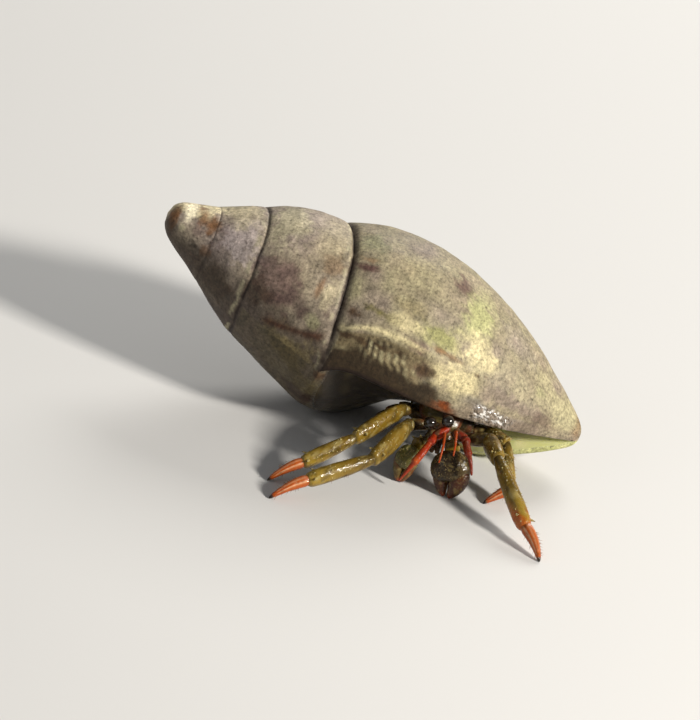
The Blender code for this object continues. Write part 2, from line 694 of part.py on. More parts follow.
def make_mouthparts(material):
    """Two short feelers below the head, joined at their roots."""
    first, second = [chain(HEAD, steps) for steps in MOUTH_PALPS]
    mouth = tapered("mouthparts", first, MOUTH_PALP, material)
    fuse(mouth, [tapered("palp", second, MOUTH_PALP)])
    finish_solid(mouth)


def make_eye(side, steps, stalk_material, eye_material):
    """Round cornea, and its stalk that ends a gap before it."""
    root, centre = chain(HEAD, steps)
    ahead = (centre - root).normalized()
    stalk_end = centre - ahead * (EYE_RADIUS + GAP + EYESTALK * ROUND_CAP)
    path = [root.lerp(stalk_end, fraction) for fraction in (0.0, 0.5, 1.0)]
    finish_solid(swept("eyestalk_" + side, path, [(EYESTALK, EYESTALK)] * 3, stalk_material))
    steps = 8
    path = []
    sizes = []
    for step in range(1, steps):
        angle = math.pi * step / steps
        path.append(centre - ahead * EYE_RADIUS * math.cos(angle))
        sizes.append((EYE_RADIUS * math.sin(angle),) * 2)
    finish_solid(swept("eye_" + side, path, sizes, eye_material, sides=14))


def make_carapace(material):
    """Head and shield under the lip, narrow in front, bent up into the shell."""
    path = smooth_path(chain(HEAD, CARAPACE_STEPS), 3)
    count = len(path) - 1
    sizes = [(curve_value(CARAPACE_WIDTH, index / count), curve_value(CARAPACE_THICKNESS, index / count))
             for index in range(count + 1)]
    finish_solid(swept("carapace", path, sizes, material, sides=20, across=CARAPACE_FACE))


def make_abdomen(material):
    """Soft hind body, wound up inside the last turn of the shell."""
    path = []
    sizes = []
    for along, radius, angle, wide, thick in ABDOMEN:
        path.append(shell_point(along, radius, math.radians(angle)))
        sizes.append((wide, thick))
    finish_solid(swept("abdomen", path, sizes, material, sides=16, across=ABDOMEN_FACE))


def centre_on_floor():
    """Move every object so that the box of all stands centred on the origin."""
    objects = [obj for obj in COLLECTION.objects if obj.type == "MESH"]
    corners = [vertex.co for obj in objects for vertex in obj.data.vertices]
    low = [min(corner[axis] for corner in corners) for axis in range(3)]
    high = [max(corner[axis] for corner in corners) for axis in range(3)]
    shift = Vector((-(low[0] + high[0]) / 2, -(low[1] + high[1]) / 2, -low[2]))
    for obj in objects:
        obj.data.transform(Matrix.Translation(shift))


def main():
    clear_scene()
    olive = make_material("olive_limb", (0.13, 0.10, 0.03), 0.35)
    red = make_material("red_feeler", (0.45, 0.06, 0.02), 0.35)
    soft = make_material("soft_body", (0.35, 0.16, 0.08), 0.5)
    dark = make_material("dark_eye", (0.02, 0.015, 0.01), 0.12)
    make_shell(make_material("worn_shell", (0.42, 0.36, 0.30), 0.4))
    for seed, (name, leg) in enumerate(LEGS.items()):
        make_leg(name, *leg, olive, seed)
    for name, steps in SMALL_LEGS.items():
        make_small_leg(name, steps, olive)
    for seed, (name, cheliped) in enumerate(CHELIPEDS.items()):
        make_cheliped(name, *cheliped, olive, len(LEGS) + seed)
    for name, steps in ANTENNAE.items():
        make_antenna(name, steps, red)
    for name, steps in ANTENNULES.items():
        make_antennule(name, steps, red)
    make_mouthparts(olive)
    for side, steps in EYES.items():
        make_eye(side, steps, olive, dark)
    make_carapace(soft)
    make_abdomen(soft)
    centre_on_floor()


main()
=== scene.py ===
"""Looks of a hermit crab walking in a worn sea shell.

Lengths are millimetres unless a name says otherwise, and MM turns them into metres.
"""
import math
import random

import bmesh
import bpy
import numpy as np
from mathutils import Matrix, Vector


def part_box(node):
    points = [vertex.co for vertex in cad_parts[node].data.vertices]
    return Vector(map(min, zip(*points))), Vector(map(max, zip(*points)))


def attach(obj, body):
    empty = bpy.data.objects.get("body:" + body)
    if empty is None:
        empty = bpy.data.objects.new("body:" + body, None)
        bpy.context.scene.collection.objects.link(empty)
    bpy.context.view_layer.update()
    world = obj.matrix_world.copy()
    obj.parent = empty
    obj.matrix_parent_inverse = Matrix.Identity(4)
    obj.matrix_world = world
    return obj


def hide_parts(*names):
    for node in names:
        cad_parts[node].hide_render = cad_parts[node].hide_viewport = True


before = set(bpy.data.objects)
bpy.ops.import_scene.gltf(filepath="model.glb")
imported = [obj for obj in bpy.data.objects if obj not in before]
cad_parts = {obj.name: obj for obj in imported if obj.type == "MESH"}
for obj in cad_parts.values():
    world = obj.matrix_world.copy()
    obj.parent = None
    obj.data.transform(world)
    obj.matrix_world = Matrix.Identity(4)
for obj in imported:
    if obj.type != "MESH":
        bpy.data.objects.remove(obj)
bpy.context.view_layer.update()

MM = 0.001
TAU = math.tau


def box_centre(node):
    """Middle of a node's box in millimetres."""
    low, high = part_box(node)
    return (Vector(low) + Vector(high)) / 2 / MM


# Front edge of the head in the crab's own frame, where its solids are placed from, and the
# shift that carries that frame to the model's
HEAD = Vector((1.7, 2.4, 3.3))
EYES = {
    "right": ((-0.35, -0.45, 0.37), (-0.45, -0.9, 0.45)),
    "left": ((0.4, -0.4, 0.48), (-0.1, -0.85, 0.72)),
}
SHIFT = box_centre("eye_left") - HEAD - Vector(EYES["left"][0]) - Vector(EYES["left"][1])
SHIFT.z = 0.0

# Camera: a long lens, rolled and looking down, that frames the crab as in the photograph
PHOTO_WIDTH = 700
PHOTO_HEIGHT = 720
PIXEL = 0.066
ROLL = math.radians(15.0)
ELEVATION = math.radians(25.0)
ORIGIN_PIXEL = (400.0, 480.0)
LENS = 400.0
SENSOR = 36.0
FOCUS_DEPTH = 3.0
CAMERA_CLIP = (0.01, 10.0)

# Studio: each light's place, aim, size, power and colour, then the sky and the floor
LIGHTS = {
    "key": ((235.0, -105.0, 155.0), (0.0, 0.0, 4.0), 45.0, 1.3, (1.0, 0.96, 0.90)),
    "fill": ((-200.0, -160.0, 120.0), (0.0, 0.0, 4.0), 200.0, 0.09, (0.93, 0.96, 1.0)),
    "rim": ((40.0, 220.0, 160.0), (0.0, 0.0, 6.0), 120.0, 0.42, (1.0, 0.98, 0.94)),
}
SKY = (0.95, 0.97, 1.0, 1.0)
SKY_STRENGTH = 0.17
FLOOR_HALF = 600
FLOOR_GREY = (0.64, 0.63, 0.61, 1.0)
FLOOR_GRAIN = 900.0
FLOOR_BUMP = (0.1, 0.00003)

# Noise: how many random values it draws on, and how its cells step through them
NOISE_VALUES = 8192
NOISE_STRIDES = (73856093, 19349663, 83492791)

# Shell, the same figures as its solid
SHELL_LENGTH = 31.2
SHELL_PITCH = math.radians(14.4)
SHELL_ANCHOR_AT = 17.6
SHELL_ANCHOR = Vector((-2.4, 7.69, 6.09))
APEX_POLE_AT = 0.0
APEX_RING_AT = 0.14
APEX_SHIFT = 0.35
APEX_SHIFT_LENGTH = 1.8
TIP_RING_AT = 31.16
WHORLS_BEFORE_LIP = 7
WHORLS_AFTER_LIP = 3
WHORL_RATIO = 1.95
SUTURE_AT_LIP = 13.3
SUTURE_LEAN = 0.023
SUTURE_LEAN_FROM = math.radians(-24.0)
SUTURE_DEPTH = 0.2
SUTURE_WIDTH = 0.22
SUTURE_TOP_SHARE = 0.5
SUTURE_END_FADE = math.radians(30.0)
DIP_BEFORE = 0.54
DIP_BEFORE_LENGTH = 1.4
DIP_AFTER = 0.5
DIP_AFTER_LENGTH = 2.6
LIP_ANGLE = math.radians(94.0)
LIP_CORNER_ANGLE = math.radians(11.0)
LIP_CORNER_LENGTH = 1.2
LIP_WALL = 0.55
OLD_LIP_BACK = math.radians(30.0)
OLD_LIP_WIDTH = math.radians(5.0)
OLD_LIP_HEIGHT = 0.28
OLD_LIP_FULL_RADIUS = 4.0
OLD_LIP_FADE = 1.5
NEW_STRIP_DROP = 0.12
OLD_LIP_TO = 17.3
OLD_LIP_TO_FADE = 3.0
OLD_LIP_LOST = 0.9
ENVELOPE = (
    (0.0, 0.12), (0.06, 0.42), (0.16, 0.68), (0.35, 0.95), (0.7, 1.25), (1.6, 1.7), (3.0, 2.35),
    (5.6, 3.85), (7.6, 4.85), (9.8, 5.55), (11.9, 6.2), (13.6, 6.65), (15.5, 6.85), (17.8, 6.85),
    (20.2, 6.4), (22.9, 5.55), (25.9, 4.15), (28.2, 2.75), (29.9, 1.6), (30.6, 1.08), (31.0, 0.66),
    (31.15, 0.36), (31.2, 0.1),
)
PILLAR = (
    (13.3, 6.6), (14.5, 6.05), (16.0, 5.15), (18.0, 4.0), (20.0, 3.15), (22.0, 2.5), (24.0, 2.0),
    (26.0, 1.55), (28.0, 1.15), (30.0, 0.8), (31.2, 0.4),
)
INNER_LIP_START = (
    (13.3, -13.0), (16.3, 30.0), (18.3, 58.0), (20.2, 80.0), (22.0, 76.0), (24.0, 50.0), (25.5, 33.0),
    (27.4, 20.0), (31.2, 12.0),
)
INNER_LIP_RISE = (
    (13.3, 75.0), (21.0, 72.0), (23.0, 58.0), (25.0, 42.0), (31.2, 40.0),
)
CAVITY_DEPTH = math.radians(108.0)
CAVITY_BEYOND_LIP = math.radians(14.0)
CAVITY_LOW = 15.4
CAVITY_LOW_MOVES = 3.2
CAVITY_HIGH = 29.2
CAVITY_HIGH_MOVES = 10.5
CAVITY_HIGH_CURVE = 1.4
CAVITY_WALL_GROWS = 0.5
CAVITY_OFF_PILLAR = 0.04
CAVITY_PILLAR_GROWS = 0.9
CAVITY_LEAST_HEIGHT = 0.25

# Fineness of the shell's surface
SHELL_COLUMNS = 420
WHORL_ROWS = (0.0, 0.04, 0.11, 0.21, 0.33, 0.46, 0.59, 0.72, 0.84, 0.93, 0.975, 1.0)
ROW_STEPS = 7
LIP_ROUND = 0.22
LIP_ROUND_STEPS = 6
CAVITY_SECTIONS = 60
CAVITY_STEPS = 44
SHARP_FROM = math.radians(50.0)
# Its relief: heights in millimetres, how often the lines come round and along it, sizes of the dents
GROWTH_LINES = 0.008
GROWTH_CELLS = ((24.0, 0.35), (7.0, 0.2))
SPIRAL_LINES = 0.008
SPIRAL_CELLS = (3.2, 0.8)
WORN_DENTS = 0.05
DENT_SIZES = (1.7, 0.6)
FINE_DENTS = 0.4
DETAIL_FULL_AT = 4.0

# Walking legs: steps to root, knee, ankle, wrist and toe, half widths, bow of the toe
LEGS = {
    "leg_right_2": (
        ((-2.15, -0.05, -0.35), (0.0, -1.8, 0.79), (-1.65, -3.65, -1.26), (-3.73, -3.0, -1.21),
         (-2.18, -1.57, -1.25)), (0.42, 0.5, 0.5, 0.36), (0.0, 0.0, 0.2)),
    "leg_right_3": (
        ((-2.32, 1.03, 0.24), (-0.43, -1.83, 0.76), (-2.55, -3.6, -1.2), (-2.84, -2.0, -1.71),
         (-1.99, -1.2, -1.37)), (0.4, 0.46, 0.46, 0.34), (0.0, 0.0, 0.2)),
    "leg_left_2": (
        ((1.55, 0.42, -0.6), (1.65, -0.62, 0.8), (0.91, -2.6, 0.06), (2.72, -4.0, -2.3),
         (1.49, -2.02, -1.24)), (0.42, 0.5, 0.54, 0.4), (0.1, 0.0, 0.2)),
    "leg_left_3": (
        ((1.7, 1.65, -0.28), (1.3, -0.15, 0.08), (1.46, -1.2, 0.2), (0.93, -2.0, -2.25),
         (-1.47, -0.86, -1.03)), (0.38, 0.42, 0.42, 0.36), (0.1, 0.1, 0.15)),
}
SMALL_LEGS = {
    "leg_right_4": ((-2.3, 1.8, 0.2), (-0.7, -0.2, -0.2), (-0.7, -0.6, -0.3), (-0.5, -0.7, -0.4),
                    (-0.1, -0.5, -0.3)),
    "leg_left_4": ((1.4, 2.5, 0.2), (0.9, 0.2, -0.3), (0.9, -0.1, -0.3), (0.7, -0.4, -0.4),
                   (0.2, -0.5, -0.3)),
}
SMALL_LEG_SIZE = 0.28
SMALL_LEG_SIDES = 16

# Claw arms as in their solids: steps to root, elbow and wrist, half widths, then the hand's steps
CHELIPEDS = {
    "cheliped_right": (((-0.65, 0.0, -1.3), (-0.3, -0.85, 0.35), (-0.2, -0.4, 0.1)), (0.38, 0.42),
                       (-0.37, -0.7, -0.1), (-0.18, -0.45, -1.15), (-0.35, -0.23), (0.2, -0.3), (0.75, 0.6)),
    "cheliped_left": (((0.75, 0.1, -1.15), (0.3, -0.85, 0.45), (0.05, -0.35, 0.05)), (0.4, 0.48),
                      (-0.05, -1.1, 0.15), (0.35, -0.5, -1.45), (0.4, -0.55), (-0.35, -0.3), (1.25, 0.85)),
}
FINGERTIP_HEIGHT = 0.05

# Feelers as in their solids
ANTENNAE = {
    "antenna_right": ((-0.27, -1.12, -0.08), (-0.15, -1.3, 0.05), (-0.5, -0.9, -0.75), (-0.5, -0.4, -1.0),
                      (-0.41, -0.1, -0.9)),
    "antenna_left": ((1.7, -0.9, 0.15), (0.1, -1.2, 0.35), (0.2, -0.9, -0.1), (0.4, -0.6, -0.5),
                     (0.3, -0.3, -0.8)),
}
ANTENNULES = {
    "antennule_right": ((0.31, -1.32, 0.32), (0.05, -0.7, 0.05), (0.05, -1.2, -0.25), (0.0, -0.6, -0.8)),
    "antennule_left": ((1.0, -1.2, 0.58), (0.05, -0.8, 0.15), (0.1, -1.2, -0.15), (0.05, -0.6, -0.5)),
}
MOUTH_PALPS = (((-0.14, -0.64, -0.6), (-0.03, -0.4, -0.3), (-0.1, -0.2, -0.4)),
               ((0.08, -0.64, -0.6), (0.03, -0.4, -0.3), (0.05, -0.2, -0.4)))
EYE_RADIUS = 0.42
CARAPACE_STEPS = (
    (0.0, 0.0, 0.0), (0.0, 0.45, 0.2), (-0.15, 0.45, 0.55), (-0.15, 0.1, 0.75), (-0.15, 0.1, 0.55),
)
CARAPACE_WIDTH = ((0.0, 0.7), (0.25, 1.25), (0.55, 1.6), (0.8, 1.5), (1.0, 1.0))
CARAPACE_THICKNESS = ((0.0, 0.35), (0.25, 0.55), (0.55, 0.7), (0.8, 0.75), (1.0, 0.5))
CARAPACE_FACE = (0.0, -0.5, 1.0)
ABDOMEN = (
    (20.9, 4.22, 76.0, 0.8, 0.4), (20.6, 4.25, 69.0, 1.2, 0.62), (20.0, 4.55, 55.0, 1.35, 0.62),
    (19.3, 4.8, 42.0, 1.05, 0.42), (18.8, 4.95, 32.0, 0.7, 0.28),
)
ABDOMEN_FACE = (0.0, -0.7, 0.7)

# Lip of the fine shell: columns that make room for the rounded edge, height of the bars,
# wall at the edge and the turn over which it gains its full thickness
LIP_COLUMNS = 14
BAR_HEIGHT = 0.05
LIP_EDGE_WALL = 0.34
LIP_THIN_TURN = math.radians(16.0)

# Fine limbs, feelers and eyes: half widths, some by fraction of the length, and how finely made
TOE_ON_FLOOR = 0.02
ANTENNA_STALK = 0.3
PEDUNCLE_STEPS = {"antenna_right": (0.5, -0.9, 0.6), "antenna_left": (0.85, -0.8, 0.45)}
ANTENNA_WHIP = ((0.0, 0.23), (0.38, 0.25), (0.46, 0.26), (0.52, 0.17), (1.0, 0.07))
ANTENNA_KNEE = 0.43
ANTENNULE = ((0.0, 0.12), (1.0, 0.05))
MOUTH_PALP = ((0.0, 0.25), (1.0, 0.14))
EYESTALK = 0.25
EYESTALK_SHORT = 0.2
EYESTALK_SIDES = 24
EYE_RINGS = 40
EYE_SIDES = 48
PEDUNCLE_SIZE = (ANTENNA_STALK * 1.05, ANTENNA_STALK * 1.1)
FEELER_RING_EVERY = 0.14
FEELER_RING_HEIGHT = 0.05
FEELER_SIDES = 20
FEELER_WET = 0.9
SMALL_TOE_BOW = (0.0, 0.0, 0.05)
SOFT_END = 0.03

# Soft flanks below the shield: steps from the head to both ends, and half width
FLANKS = (((-0.3, 1.3, 0.2), (-2.2, 1.7, 0.7), 0.75), ((0.3, 1.2, 0.0), (2.0, 1.5, 0.1), 0.7),
          ((0.0, 0.6, -0.9), (0.1, 1.9, -0.7), 0.8))
# Hips below the shield, as steps from the head
HIP_SIDE = 0.45
HIP_BACK = 0.75
HIP_LOW = -0.15
HIP_NARROW = 0.95
HIP_SEEDS = 7

# Bristles on the legs: how many on each segment, their rows round it in radians, length and width
BRISTLES_EACH = 46
BRISTLE_ROWS = (-0.6, 0.5, 1.2, 2.0, 2.7, 3.7)
BRISTLE_LENGTH = (0.16, 0.42)
BRISTLE_WIDTH = 0.016
BRISTLE_ROOT = 0.85
BRISTLE_LEAN = (0.7, 1.6)
BRISTLE_SPAN = (0.1, 0.86)
BRISTLE_STRAY = 0.2
# Each bristle is two rings of four points and a tip: place of its second ring, taper and bend
CONE_POINTS = 9
CONE_MIDDLE = 0.5
CONE_TAPER = 0.7
CONE_BEND = 0.12
UV_MARGIN = 0.02
PATCH_SIZE = 0.003

# Spines at the joints
SPINES_AT_JOINT = 3
SPINE_LENGTH = (0.42, 0.55)
SPINE_WIDTH = 0.16
SPINE_LEAN = 0.9
SPINE_ROOT = 0.75
SPINE_ARC = (30, 120)
SPINE_STRAY = 0.15
SPINE_PLACES = (0.84, 0.08)
SPINE_RINGS = 7
SPINE_SIDES = 10
SPINE_CURVE = 1.4
SPINE_SLIM = 0.92
SPINE_POINT = 0.012
# Small grains on the palms and legs: how many, their spread round the segment, length and width
PALM_GRANULES = 90
LEG_GRANULES = 26
GRANULES_ROUND = 1.5
GRANULE_LENGTH = (0.05, 0.1)
GRANULE_WIDTH = (0.04, 0.065)
GRANULE_SPAN = (0.1, 1.0)
GRANULE_ROOT = 0.96
GRANULE_LEAN = 0.6
LEG_FRONT = (0.0, -0.4, 0.9)

# Fingers of a claw, as shares of the palm's half width and thickness
FINGER_APART = 0.5
FINGER_BOW = 0.06
FINGERTIPS_CLOSE = 0.4
FIXED_FINGER = (0.5, 0.68)
FREE_FINGER = (0.48, 0.64)

# Shapes of the limbs: share of the half width by fraction of the length
PLATE_PROFILE = (
    (-0.07, 0.02), (-0.06, 0.25), (-0.03, 0.5), (0.02, 0.64), (0.1, 0.76), (0.28, 0.91), (0.6, 1.03),
    (0.85, 1.03), (0.95, 0.95), (1.0, 0.8), (1.03, 0.5), (1.045, 0.02),
)
MERUS_PROFILE = (
    (-0.07, 0.02), (-0.06, 0.28), (-0.02, 0.56), (0.05, 0.78), (0.2, 0.98), (0.45, 1.06), (0.75, 1.0),
    (0.94, 0.88), (1.0, 0.76), (1.03, 0.46), (1.045, 0.02),
)
MERUS_HEIGHT = 1.4
TOE_PROFILE = (
    (-0.05, 0.02), (-0.04, 0.4), (-0.01, 0.72), (0.05, 0.9), (0.15, 1.0), (0.35, 0.92), (0.6, 0.72),
    (0.8, 0.5), (0.9, 0.36), (0.97, 0.2), (1.0, 0.02),
)
PALM_PROFILE = (
    (-0.12, 0.02), (-0.1, 0.3), (-0.03, 0.56), (0.1, 0.78), (0.28, 0.95), (0.5, 1.05), (0.72, 1.06),
    (0.9, 1.02), (1.04, 0.92), (1.14, 0.7), (1.2, 0.4), (1.22, 0.02),
)
FINGER_PROFILE = (
    (-0.6, 0.02), (-0.52, 0.6), (-0.35, 0.88), (-0.1, 1.0), (0.15, 0.98), (0.4, 0.86), (0.65, 0.64),
    (0.85, 0.4), (0.96, 0.2), (1.0, 0.02),
)
LIMB_HEIGHT = 1.12
LIMB_SIDES = 28
LIMB_RINGS = 34
# Two sizes of bumps in the skin and the share of the finer ones, then how wet it is
SKIN_BUMPS = (0.32, 0.14, 0.6)
LIMB_WET = 0.75
LIMB_WET_VARIES = 0.2

# Colours, linear
CREAM = (0.70, 0.60, 0.37)
PALE = (0.46, 0.41, 0.26)
BEIGE = (0.36, 0.30, 0.19)
GREY_MAUVE = (0.26, 0.205, 0.175)
APEX_CREAM = (0.98, 0.88, 0.62)
LILAC_GREY = (0.49, 0.41, 0.38)
MOSS = (0.34, 0.335, 0.12)
MAUVE = (0.13, 0.078, 0.07)
BROWN = (0.07, 0.038, 0.018)
DARK_BROWN = (0.022, 0.013, 0.009)
ORANGE_BROWN = (0.21, 0.10, 0.04)
RUST = (0.17, 0.038, 0.007)
TAN = (0.33, 0.26, 0.11)
OLIVE_STAIN = (0.15, 0.13, 0.05)
GREEN_TINT = (0.47, 0.465, 0.235)
BLADE_GREEN = (0.46, 0.46, 0.19)
PURPLE = (0.10, 0.045, 0.045)
GREEN_GREY = (0.30, 0.30, 0.18)
GREY_BLUE = (0.21, 0.195, 0.18)
GREY_MAUVE_LIGHT = (0.33, 0.28, 0.235)
STRIP_BROWN = (0.17, 0.125, 0.065)
LINE_BROWN = (0.06, 0.022, 0.01)
LIP_MAUVE = (0.17, 0.125, 0.105)
SHADE_BROWN = (0.035, 0.022, 0.012)
# Painted highlight: white sparkles of water on the lip
PAINTED_SPARKLE_WHITE = (0.95, 0.92, 0.86)
INNER_SHADE = (0.042, 0.03, 0.018)
DARK_SPECK = (0.04, 0.024, 0.014)
LIMB_DARK = (0.045, 0.028, 0.005)
LIMB_OLIVE = (0.155, 0.092, 0.008)
LIMB_PALE = (0.29, 0.19, 0.025)
LIMB_ORANGE = (0.38, 0.07, 0.003)
LIMB_RED = (0.28, 0.028, 0.003)
STRIPE = (0.72, 0.46, 0.26)
CLAW = (0.018, 0.012, 0.01)
HAND_DARK = (0.026, 0.017, 0.005)
HAND_OLIVE = (0.085, 0.06, 0.014)
GRAIN_PALE = (0.34, 0.27, 0.10)
GRAIN_CREAM = (0.48, 0.38, 0.15)
# Grains of the left palm, dimmed by painted shade
GRAIN_IN_PAINTED_SHADE = (0.15, 0.10, 0.035)
# Each hand: the dark and the paler shade of its palm, its fingers and its grains; the left hand's are darker
# copies, painted shade
HAND_SHADES = {
    "cheliped_right": ((0.07, 0.055, 0.012), (0.15, 0.14, 0.04), (0.12, 0.042, 0.009), GRAIN_PALE),
    "cheliped_left": ((0.024, 0.013, 0.004), (0.055, 0.034, 0.008), (0.055, 0.015, 0.004), GRAIN_IN_PAINTED_SHADE),
}
FEELER_RED = (0.27, 0.016, 0.002)
FEELER_ORANGE = (0.40, 0.07, 0.006)
# Each antenna: its two reds, and whether its knee is orange; the left antenna's darker reds are painted shade
ANTENNA_SHADES = {
    "antenna_right": (FEELER_RED, LIMB_RED, True),
    "antenna_left": ((0.15, 0.010, 0.002), (0.16, 0.017, 0.002), False),
}
EYE_DARK = (0.012, 0.008, 0.005)
EYE_RING = (0.10, 0.03, 0.012)
SKIN_BROWN = (0.10, 0.035, 0.014)
BRISTLE = (0.20, 0.12, 0.05)

# Layers of paint on the limbs: strength, then the values where each starts and is full, which are
# fractions of the length, heights on the surface or shares of the noise
LIMB_TIP = (0.85, (0.35, 0.95))
# Painted shade on the underside of a limb
LIMB_UNDERSIDE_SHADE = (0.75, (0.1, 1.1))
LIMB_SPOTS = (0.65, (0.1, 0.45))
LIMB_GRAINS = (0.6, (0.32, 0.52))
LIMB_ROOT = (0.8, (0.2, -0.04))
LIMB_END = (0.85, (0.72, 0.97))
LIMB_JOINT = (0.25, (0.9, 0.98))
TOE_ROOT = (0.7, (0.2, -0.1))
TOE_SPOTS = (0.5, (-0.1, 0.4))
TOE_CLAW = (1.0, (0.88, 0.93))
SKIN_SPOTS = (1.0, (-0.1, 0.4))
SPINE_DARK = (1.0, (0.8, 0.95))
PALM_CLOUDS = (0.8, (-0.3, 0.5))
PALM_GRAINS = (0.3, (0.3, 0.5))
PALM_END = (0.6, (0.7, 1.0))
EYE_RING_REACH = (1.0, (0.35, 0.75))
TOE_STRIPE_REACH = (1.0, (0.02, 0.12), (0.86, 0.74))
# Pale stripes of a toe: degrees away from its top and strength, and their half width
TOE_STRIPES = ((20.0, 0.5), (68.0, 0.8))
TOE_STRIPE_WIDTH = 7.5

# Marks on the shell: colour, place along the axis, degrees round it, half sizes, strength
SHELL_MARKS = (
    (GREY_MAUVE, 0.1, -24.0, 0.4, 180.0, 0.6), (APEX_CREAM, 1.1, 10.0, 0.65, 30.0, 1.0),
    (ORANGE_BROWN, 0.45, 45.0, 0.3, 50.0, 0.85), (PALE, 1.2, 74.0, 0.25, 14.0, 0.8),
    (MAUVE, 2.3, 64.0, 0.5, 14.0, 0.5), (ORANGE_BROWN, 2.8, 37.0, 0.55, 20.0, 0.7),
    (CREAM, 2.7, 3.0, 0.6, 16.0, 0.8), (PALE, 3.3, -20.0, 0.55, 13.0, 0.6),
    (DARK_BROWN, 2.5, 91.0, 0.55, 9.0, 0.85), (ORANGE_BROWN, 3.1, 86.0, 0.45, 10.0, 0.6),
    (LILAC_GREY, 4.9, 48.0, 1.1, 32.0, 0.75), (CREAM, 4.4, 2.0, 1.1, 26.0, 0.6),
    (BROWN, 4.5, 108.0, 1.3, 26.0, 0.6), (PALE, 7.3, 12.0, 1.4, 30.0, 0.75),
    (BEIGE, 10.3, 20.0, 1.3, 26.0, 0.6), (MAUVE, 8.0, 70.0, 1.4, 16.0, 0.8),
    (BROWN, 7.2, 86.0, 0.8, 12.0, 0.6), (MAUVE, 9.6, 76.0, 0.8, 7.0, 0.55),
    (ORANGE_BROWN, 10.8, 40.0, 0.6, 7.0, 0.4), (CREAM, 11.4, 60.0, 0.45, 9.0, 0.6),
    (ORANGE_BROWN, 10.7, 58.0, 0.22, 8.0, 0.6), (GREEN_TINT, 11.3, 80.0, 0.4, 4.0, 0.5),
    (TAN, 10.2, 107.0, 0.9, 6.0, 0.6), (TAN, 11.6, 113.0, 1.1, 7.0, 0.75),
    (TAN, 12.5, 121.0, 1.0, 8.0, 0.6), (RUST, 13.5, 108.0, 0.7, 3.5, 0.6),
    (GREEN_GREY, 12.9, 8.0, 0.9, 9.0, 0.6), (PURPLE, 12.9, 33.0, 0.8, 4.0, 0.9),
    (ORANGE_BROWN, 12.9, 27.0, 0.6, 2.0, 0.5), (PALE, 12.75, 48.0, 0.5, 8.0, 0.7),
    (BROWN, 13.4, 63.0, 0.8, 4.6, 0.95), (OLIVE_STAIN, 14.9, 56.0, 1.2, 3.0, 0.95),
    (TAN, 17.0, 45.0, 1.2, 5.0, 0.3), (PURPLE, 19.3, 13.0, 0.6, 8.0, 0.8),
    (GREEN_TINT, 21.0, 28.0, 1.15, 17.0, 0.9), (PALE, 20.8, 4.0, 0.7, 8.0, 0.6),
    (MOSS, 19.2, 52.5, 1.5, 6.5, 0.8), (OLIVE_STAIN, 17.3, 49.0, 0.8, 3.5, 0.35),
    (CREAM, 16.6, 54.5, 1.3, 4.0, 0.75), (PURPLE, 18.2, 63.0, 0.7, 3.2, 0.85),
    (BROWN, 13.4, 76.0, 0.5, 3.5, 0.6), (PALE, 14.6, 86.5, 1.0, 3.0, 0.6),
    (PURPLE, 19.1, 74.5, 0.8, 4.2, 0.6), (GREY_BLUE, 20.1, 79.0, 0.55, 4.0, 0.7),
    (CREAM, 21.5, 70.0, 1.6, 10.0, 0.97), (CREAM, 21.9, 48.0, 1.4, 11.0, 0.92),
    (GREY_MAUVE_LIGHT, 24.3, 18.0, 1.5, 14.0, 0.7), (PALE, 27.6, 24.0, 0.9, 10.0, 0.5),
    (ORANGE_BROWN, 20.5, 59.0, 0.9, 1.4, 0.6), (GREY_BLUE, 23.2, 79.0, 1.1, 4.5, 0.6),
    (GREY_MAUVE, 25.1, 67.0, 1.7, 7.5, 0.85), (GREY_MAUVE, 27.0, 65.0, 1.1, 8.0, 0.7),
    (MAUVE, 28.4, 68.0, 1.0, 13.0, 0.6), (RUST, 21.9, 90.0, 0.7, 4.0, 0.95),
    (DARK_BROWN, 19.0, 91.5, 1.5, 2.6, 0.8), (PALE, 29.4, 34.0, 1.0, 30.0, 0.8),
    (ORANGE_BROWN, 30.8, 45.0, 0.28, 70.0, 0.7), (GREEN_TINT, 27.1, 40.0, 0.35, 5.0, 0.4),
    (BROWN, 22.6, 61.0, 0.2, 1.3, 0.9), (BROWN, 14.7, 75.0, 0.7, 2.2, 0.85),
    (BROWN, 16.1, 73.0, 0.4, 1.8, 0.8), (BROWN, 17.2, 72.0, 0.65, 2.0, 0.85),
    (BROWN, 19.2, 73.5, 0.75, 3.0, 0.9), (BROWN, 13.5, 77.0, 0.5, 1.8, 0.9),
    (BROWN, 15.5, 74.5, 0.5, 1.6, 0.85), (PURPLE, 18.0, 64.0, 0.6, 2.4, 0.8),
    (ORANGE_BROWN, 19.4, 59.5, 0.4, 1.8, 0.8), (BROWN, 20.5, 60.5, 0.3, 1.2, 0.8),
    (BROWN, 23.1, 59.0, 0.26, 1.1, 0.7), (DARK_BROWN, 26.0, 50.0, 0.1, 1.2, 0.8),
    (DARK_BROWN, 26.8, 53.0, 0.1, 1.3, 0.8), (DARK_BROWN, 26.8, 36.0, 0.12, 1.4, 0.8),
    (DARK_BROWN, 25.9, 62.0, 0.1, 1.2, 0.8), (PALE, 11.3, 23.0, 0.14, 2.0, 0.9),
)
APEX_MARKS = (
    (ORANGE_BROWN, 0.45, 45.0, 0.28, 45.0, 0.9), (APEX_CREAM, 1.25, 24.0, 0.42, 38.0, 1.0),
    (ORANGE_BROWN, 2.15, 30.0, 0.3, 20.0, 0.85), (ORANGE_BROWN, 2.95, 42.0, 0.35, 18.0, 0.8),
)
APEX_MARK_SHARE = 0.9
BELLY_MARK = (TAN, 11.6, 110.0, 2.2, 12.0, 0.4)
MARK_REACH = 1.45
MARK_SOFTNESS = 1.05
# Marks scattered over the back of the shell: how many, their colours and the spans of their figures
BACK_MARKS = 70
BACK_COLOURS = (PALE, CREAM, MAUVE, BROWN, GREEN_TINT, GREY_MAUVE_LIGHT, TAN, PURPLE)
BACK_SPANS = ((2.0, 29.0), (128.0, 325.0), (0.3, 1.5), (3.0, 13.0), (0.4, 0.85))

